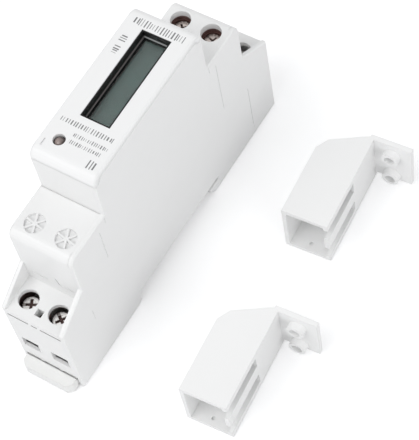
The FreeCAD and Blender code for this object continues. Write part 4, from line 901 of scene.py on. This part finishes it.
def clear_acrylic():
    """Clear glass-like plastic with faint wipe marks."""
    material, tree, surface, place = new_material("clear_acrylic")
    surface.inputs["Transmission Weight"].default_value = 1.0
    surface.inputs["IOR"].default_value = 1.49
    surface.inputs["Base Color"].default_value = (0.97, 0.98, 0.98, 1.0)
    put(surface.inputs["Roughness"], ramp(tree, noise(tree, place, 300.0, 4.0), 0.4, 0.7, 0.02, 0.07))
    return material


pane = new_piece("window_pane", pane_mesh())
pane.data.materials.append(clear_acrylic())
# the long slopes take a darker copy of the frosted slope, as painted shade
for name, light, shade in (("frosted_slope", (0.30, 0.31, 0.31), (0.24, 0.25, 0.25)),
                           ("shaded_long_slope", (0.13, 0.12, 0.12), (0.09, 0.08, 0.08))):
    pane.data.materials.append(moulded_plastic(name, light, shade, roughness=0.6, grain=9000.0))
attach(pane, "meter")
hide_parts("window_lens")

# Pulse lamp
# A three-millimetre light-emitting diode cast in smoky epoxy, with the usual flange and flat at
# its foot and two tinned leads that go down to the board.
LAMP_AXIS = (-4.2 * MM, -14.8 * MM)
LAMP_TOP = 62.85 * MM
LAMP_FOOT = 58.45 * MM
LAMP_RADIUS = 1.45 * MM
LAMP_FLAT = 1.55 * MM
LAMP_TURNS, LAMP_STEPS = 48, 12
FLANGE_RADIUS = 1.8 * MM
FLANGE_TOP = 59.25 * MM
FLANGE_EDGE = 0.08 * MM
# point round which the dome is painted pale, as a painted highlight
LAMP_HIGHLIGHT = (LAMP_AXIS[0] - 0.2 * MM, LAMP_AXIS[1] - 0.3 * MM, LAMP_TOP - 0.6 * MM)
LEAD_X = -4.75 * MM
LEAD_REACH = 0.65 * MM
LEAD_WIDTH = 0.5 * MM
LEAD_FOOT = 44.1 * MM


def lamp_mesh():
    """Dome and flange turned about the lamp's axis, with the two square leads."""
    profile = [(FLANGE_RADIUS - FLANGE_EDGE, LAMP_FOOT), (FLANGE_RADIUS, LAMP_FOOT + FLANGE_EDGE),
               (FLANGE_RADIUS, FLANGE_TOP - FLANGE_EDGE), (FLANGE_RADIUS - FLANGE_EDGE, FLANGE_TOP),
               (LAMP_RADIUS, FLANGE_TOP + 0.02 * MM)]
    for step in range(LAMP_STEPS):
        angle = math.pi / 2 * step / LAMP_STEPS
        rise = LAMP_RADIUS * math.sin(angle)
        profile.append((LAMP_RADIUS * math.cos(angle), LAMP_TOP - LAMP_RADIUS + rise))
    mesh = bmesh.new()
    loops = []
    for radius, z in profile:
        loop = []
        for turn in range(LAMP_TURNS):
            angle = 2 * math.pi * turn / LAMP_TURNS
            x = max(radius * math.cos(angle), -LAMP_FLAT)
            loop.append(mesh.verts.new((LAMP_AXIS[0] + x, LAMP_AXIS[1] + radius * math.sin(angle), z)))
        loops.append(loop)
    mesh.faces.new(list(reversed(loops[0])))
    for below, above in zip(loops, loops[1:]):
        for turn in range(LAMP_TURNS):
            follow = (turn + 1) % LAMP_TURNS
            mesh.faces.new((below[turn], below[follow], above[follow], above[turn])).smooth = True
    peak = mesh.verts.new((*LAMP_AXIS, LAMP_TOP))
    for turn in range(LAMP_TURNS):
        mesh.faces.new((loops[-1][turn], loops[-1][(turn + 1) % LAMP_TURNS], peak)).smooth = True
    size = Matrix.Diagonal((LEAD_WIDTH, LEAD_WIDTH, LAMP_FOOT - LEAD_FOOT, 1.0))
    for side in (-LEAD_REACH, LEAD_REACH):
        place = Matrix.Translation((LEAD_X, LAMP_AXIS[1] + side, (LAMP_FOOT + LEAD_FOOT) / 2))
        bmesh.ops.transform(mesh, matrix=place @ size, verts=bmesh.ops.create_cube(mesh, size=1.0)["verts"])
    return finished(mesh, "pulse_lamp")


def smoky_epoxy():
    """Smoky cast resin: painted highlight round one point, painted shade away from it, tinned leads under
    the foot.
    """
    material, tree, surface, place = new_material("smoky_epoxy", 0.6)
    haze = noise(tree, place, 900.0)
    # painted highlight and shade: pale near one point, darker towards the rim of the dome
    away = vector_maths(tree, "DISTANCE", place, LAMP_HIGHLIGHT)
    depth = maths(tree, "ADD", ramp(tree, away, 0.4 * MM, 1.4 * MM), ramp(tree, haze, 0.3, 0.7, -0.1, 0.1))
    body = blend(tree, depth, (0.34, 0.27, 0.25), (0.07, 0.05, 0.048))
    leads = ramp(tree, axes(tree, place)[2], LAMP_FOOT, LAMP_FOOT - 0.02 * MM)
    use_finish(tree, surface, LEADS, Body=body, Tin=(0.76, 0.75, 0.72), Leads=leads)
    put(surface.inputs["Roughness"], ramp(tree, haze, 0.3, 0.7, 0.10, 0.16))
    return material


lamp = new_piece("pulse_lamp", lamp_mesh())
lamp.data.materials.append(smoky_epoxy())
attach(lamp, "meter")
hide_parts("pulse_led")

# Side cover
# The right wall is moulded in the same plastic as the tub and snapped on after the inside is in
# place, so a fine joint line runs round the ends.
dress(HOUSING_WHITE, "side_cover")

# Front panel
# A thin white cap snapped over the front, pad printed in grey with rows of plain marks round the
# window and the lamp.
PRINT_GREY = (0.10, 0.10, 0.105)
PRINT_EDGE = 0.04 * MM
PANEL_TOP = 62.95 * MM
CAP_BENDS = {"Start": 19.8 * MM, "Foot": 59.0 * MM, "Radius": 0.6 * MM}
MARK_ROWS = (
    # middle x and y, length, height and pitch in mm, start, whether along the length of the meter
    (0.2, 21.3, 14.0, 2.2, 1.5, 47.6, False),
    (-6.2, 13.9, 5.8, 1.9, 1.3, 4.4, True),
    (0.1, -9.6, 15.0, 1.5, 1.4, 33.1, False),
    (2.7, -12.2, 9.4, 1.1, 1.15, 47.6, False),
    (2.65, -14.1, 9.5, 1.1, 1.15, 52.3, False),
    (6.0, -17.2, 3.0, 2.4, 1.5, 5.5, False),
)


def printed_row():
    """One row of printed strokes in pairs of uneven width and height, with a gap here and there."""
    group, given, made = new_group(
        "printed_row", ("Along", "Across", "Length", "Height", "Pitch", "Start"), ("Mask",))

    def near(value, reach):
        """Mask of the values within a reach of nought, with the soft edge of the print."""
        edge = maths(group, "SUBTRACT", reach, PRINT_EDGE)
        return ramp(group, maths(group, "ABSOLUTE", value), reach, edge)
    step = maths(group, "ADD", maths(group, "DIVIDE", given["Along"], given["Pitch"]), given["Start"])
    chance = add(group, "ShaderNodeTexWhiteNoise", noise_dimensions="1D")
    put(chance.inputs["W"], maths(group, "FLOOR", step))
    chance = chance.outputs["Value"]
    within = maths(group, "FRACT", step)
    width = ramp(group, chance, 0.10, 0.9, 0.6, 0.88)
    bar = ramp(group, within, width, maths(group, "SUBTRACT", width, 0.1))
    kept = maths(group, "GREATER_THAN", chance, 0.08)
    tall = ramp(group, maths(group, "FRACT", maths(group, "MULTIPLY", chance, 7.0)), 0.0, 1.0, 0.34, 0.5)
    rise = maths(group, "MULTIPLY", given["Height"], tall)
    hollow = ramp(group, apart(group, within, maths(group, "MULTIPLY", width, 0.5)), 0.20, 0.15)
    stroke = product(group, bar, kept, near(given["Across"], rise), maths(group, "SUBTRACT", 1.0, hollow))
    row = near(given["Along"], maths(group, "MULTIPLY", given["Length"], 0.5))
    put(made["Mask"], maths(group, "MULTIPLY", row, stroke))
    return group


def printed_panel():
    """White cap with rounded bends and the rows of marks on its face."""
    material, tree, surface, place, finish = moulded("panel_white", (0.85, 0.85, 0.85), (0.83, 0.83, 0.83),
                                                     roughness=0.4, grain=4600.0, depth=0.2)
    round_bends(tree, place, finish, CAP_BENDS)
    x, y, z = axes(tree, place)
    rows = printed_row()
    total = 0.0
    for middle_x, middle_y, length, height, pitch, start, turned in MARK_ROWS:
        along = maths(tree, "SUBTRACT", x, middle_x * MM)
        across = maths(tree, "SUBTRACT", y, middle_y * MM)
        if turned:
            along, across = across, along
        sizes = {"Length": length * MM, "Height": height * MM, "Pitch": pitch * MM, "Start": start}
        row = add(tree, "ShaderNodeGroup", {"Along": along, "Across": across, **sizes}, node_tree=rows)
        total = maths(tree, "MAXIMUM", total, row.outputs["Mask"])
    face = ramp(tree, z, PANEL_TOP - 0.05 * MM, PANEL_TOP)
    ink = product(tree, total, face, 0.9)
    put(surface.inputs["Base Color"], blend(tree, ink, finish.outputs["Color"], PRINT_GREY))
    return material


dress(printed_panel(), "front_panel")

# Rail clip
# The sprung foot is moulded in acetal, a little waxier than the housing, and slides in the tub
# to hold the rail.
dress(moulded_plastic("clip_acetal", (0.82, 0.82, 0.81), (0.79, 0.79, 0.78), roughness=0.35, grain=3000.0,
                      depth=0.2), "din_clip")

# Terminal covers
# Two covers are moulded in the same white as the housing and snap on over its ends. They lie
# taken off beside the meter.
dress(moulded_plastic("cover_white", HOUSING_LIGHT, HOUSING_SHADE), "terminal_cover_1", "terminal_cover_2")

low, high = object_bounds()
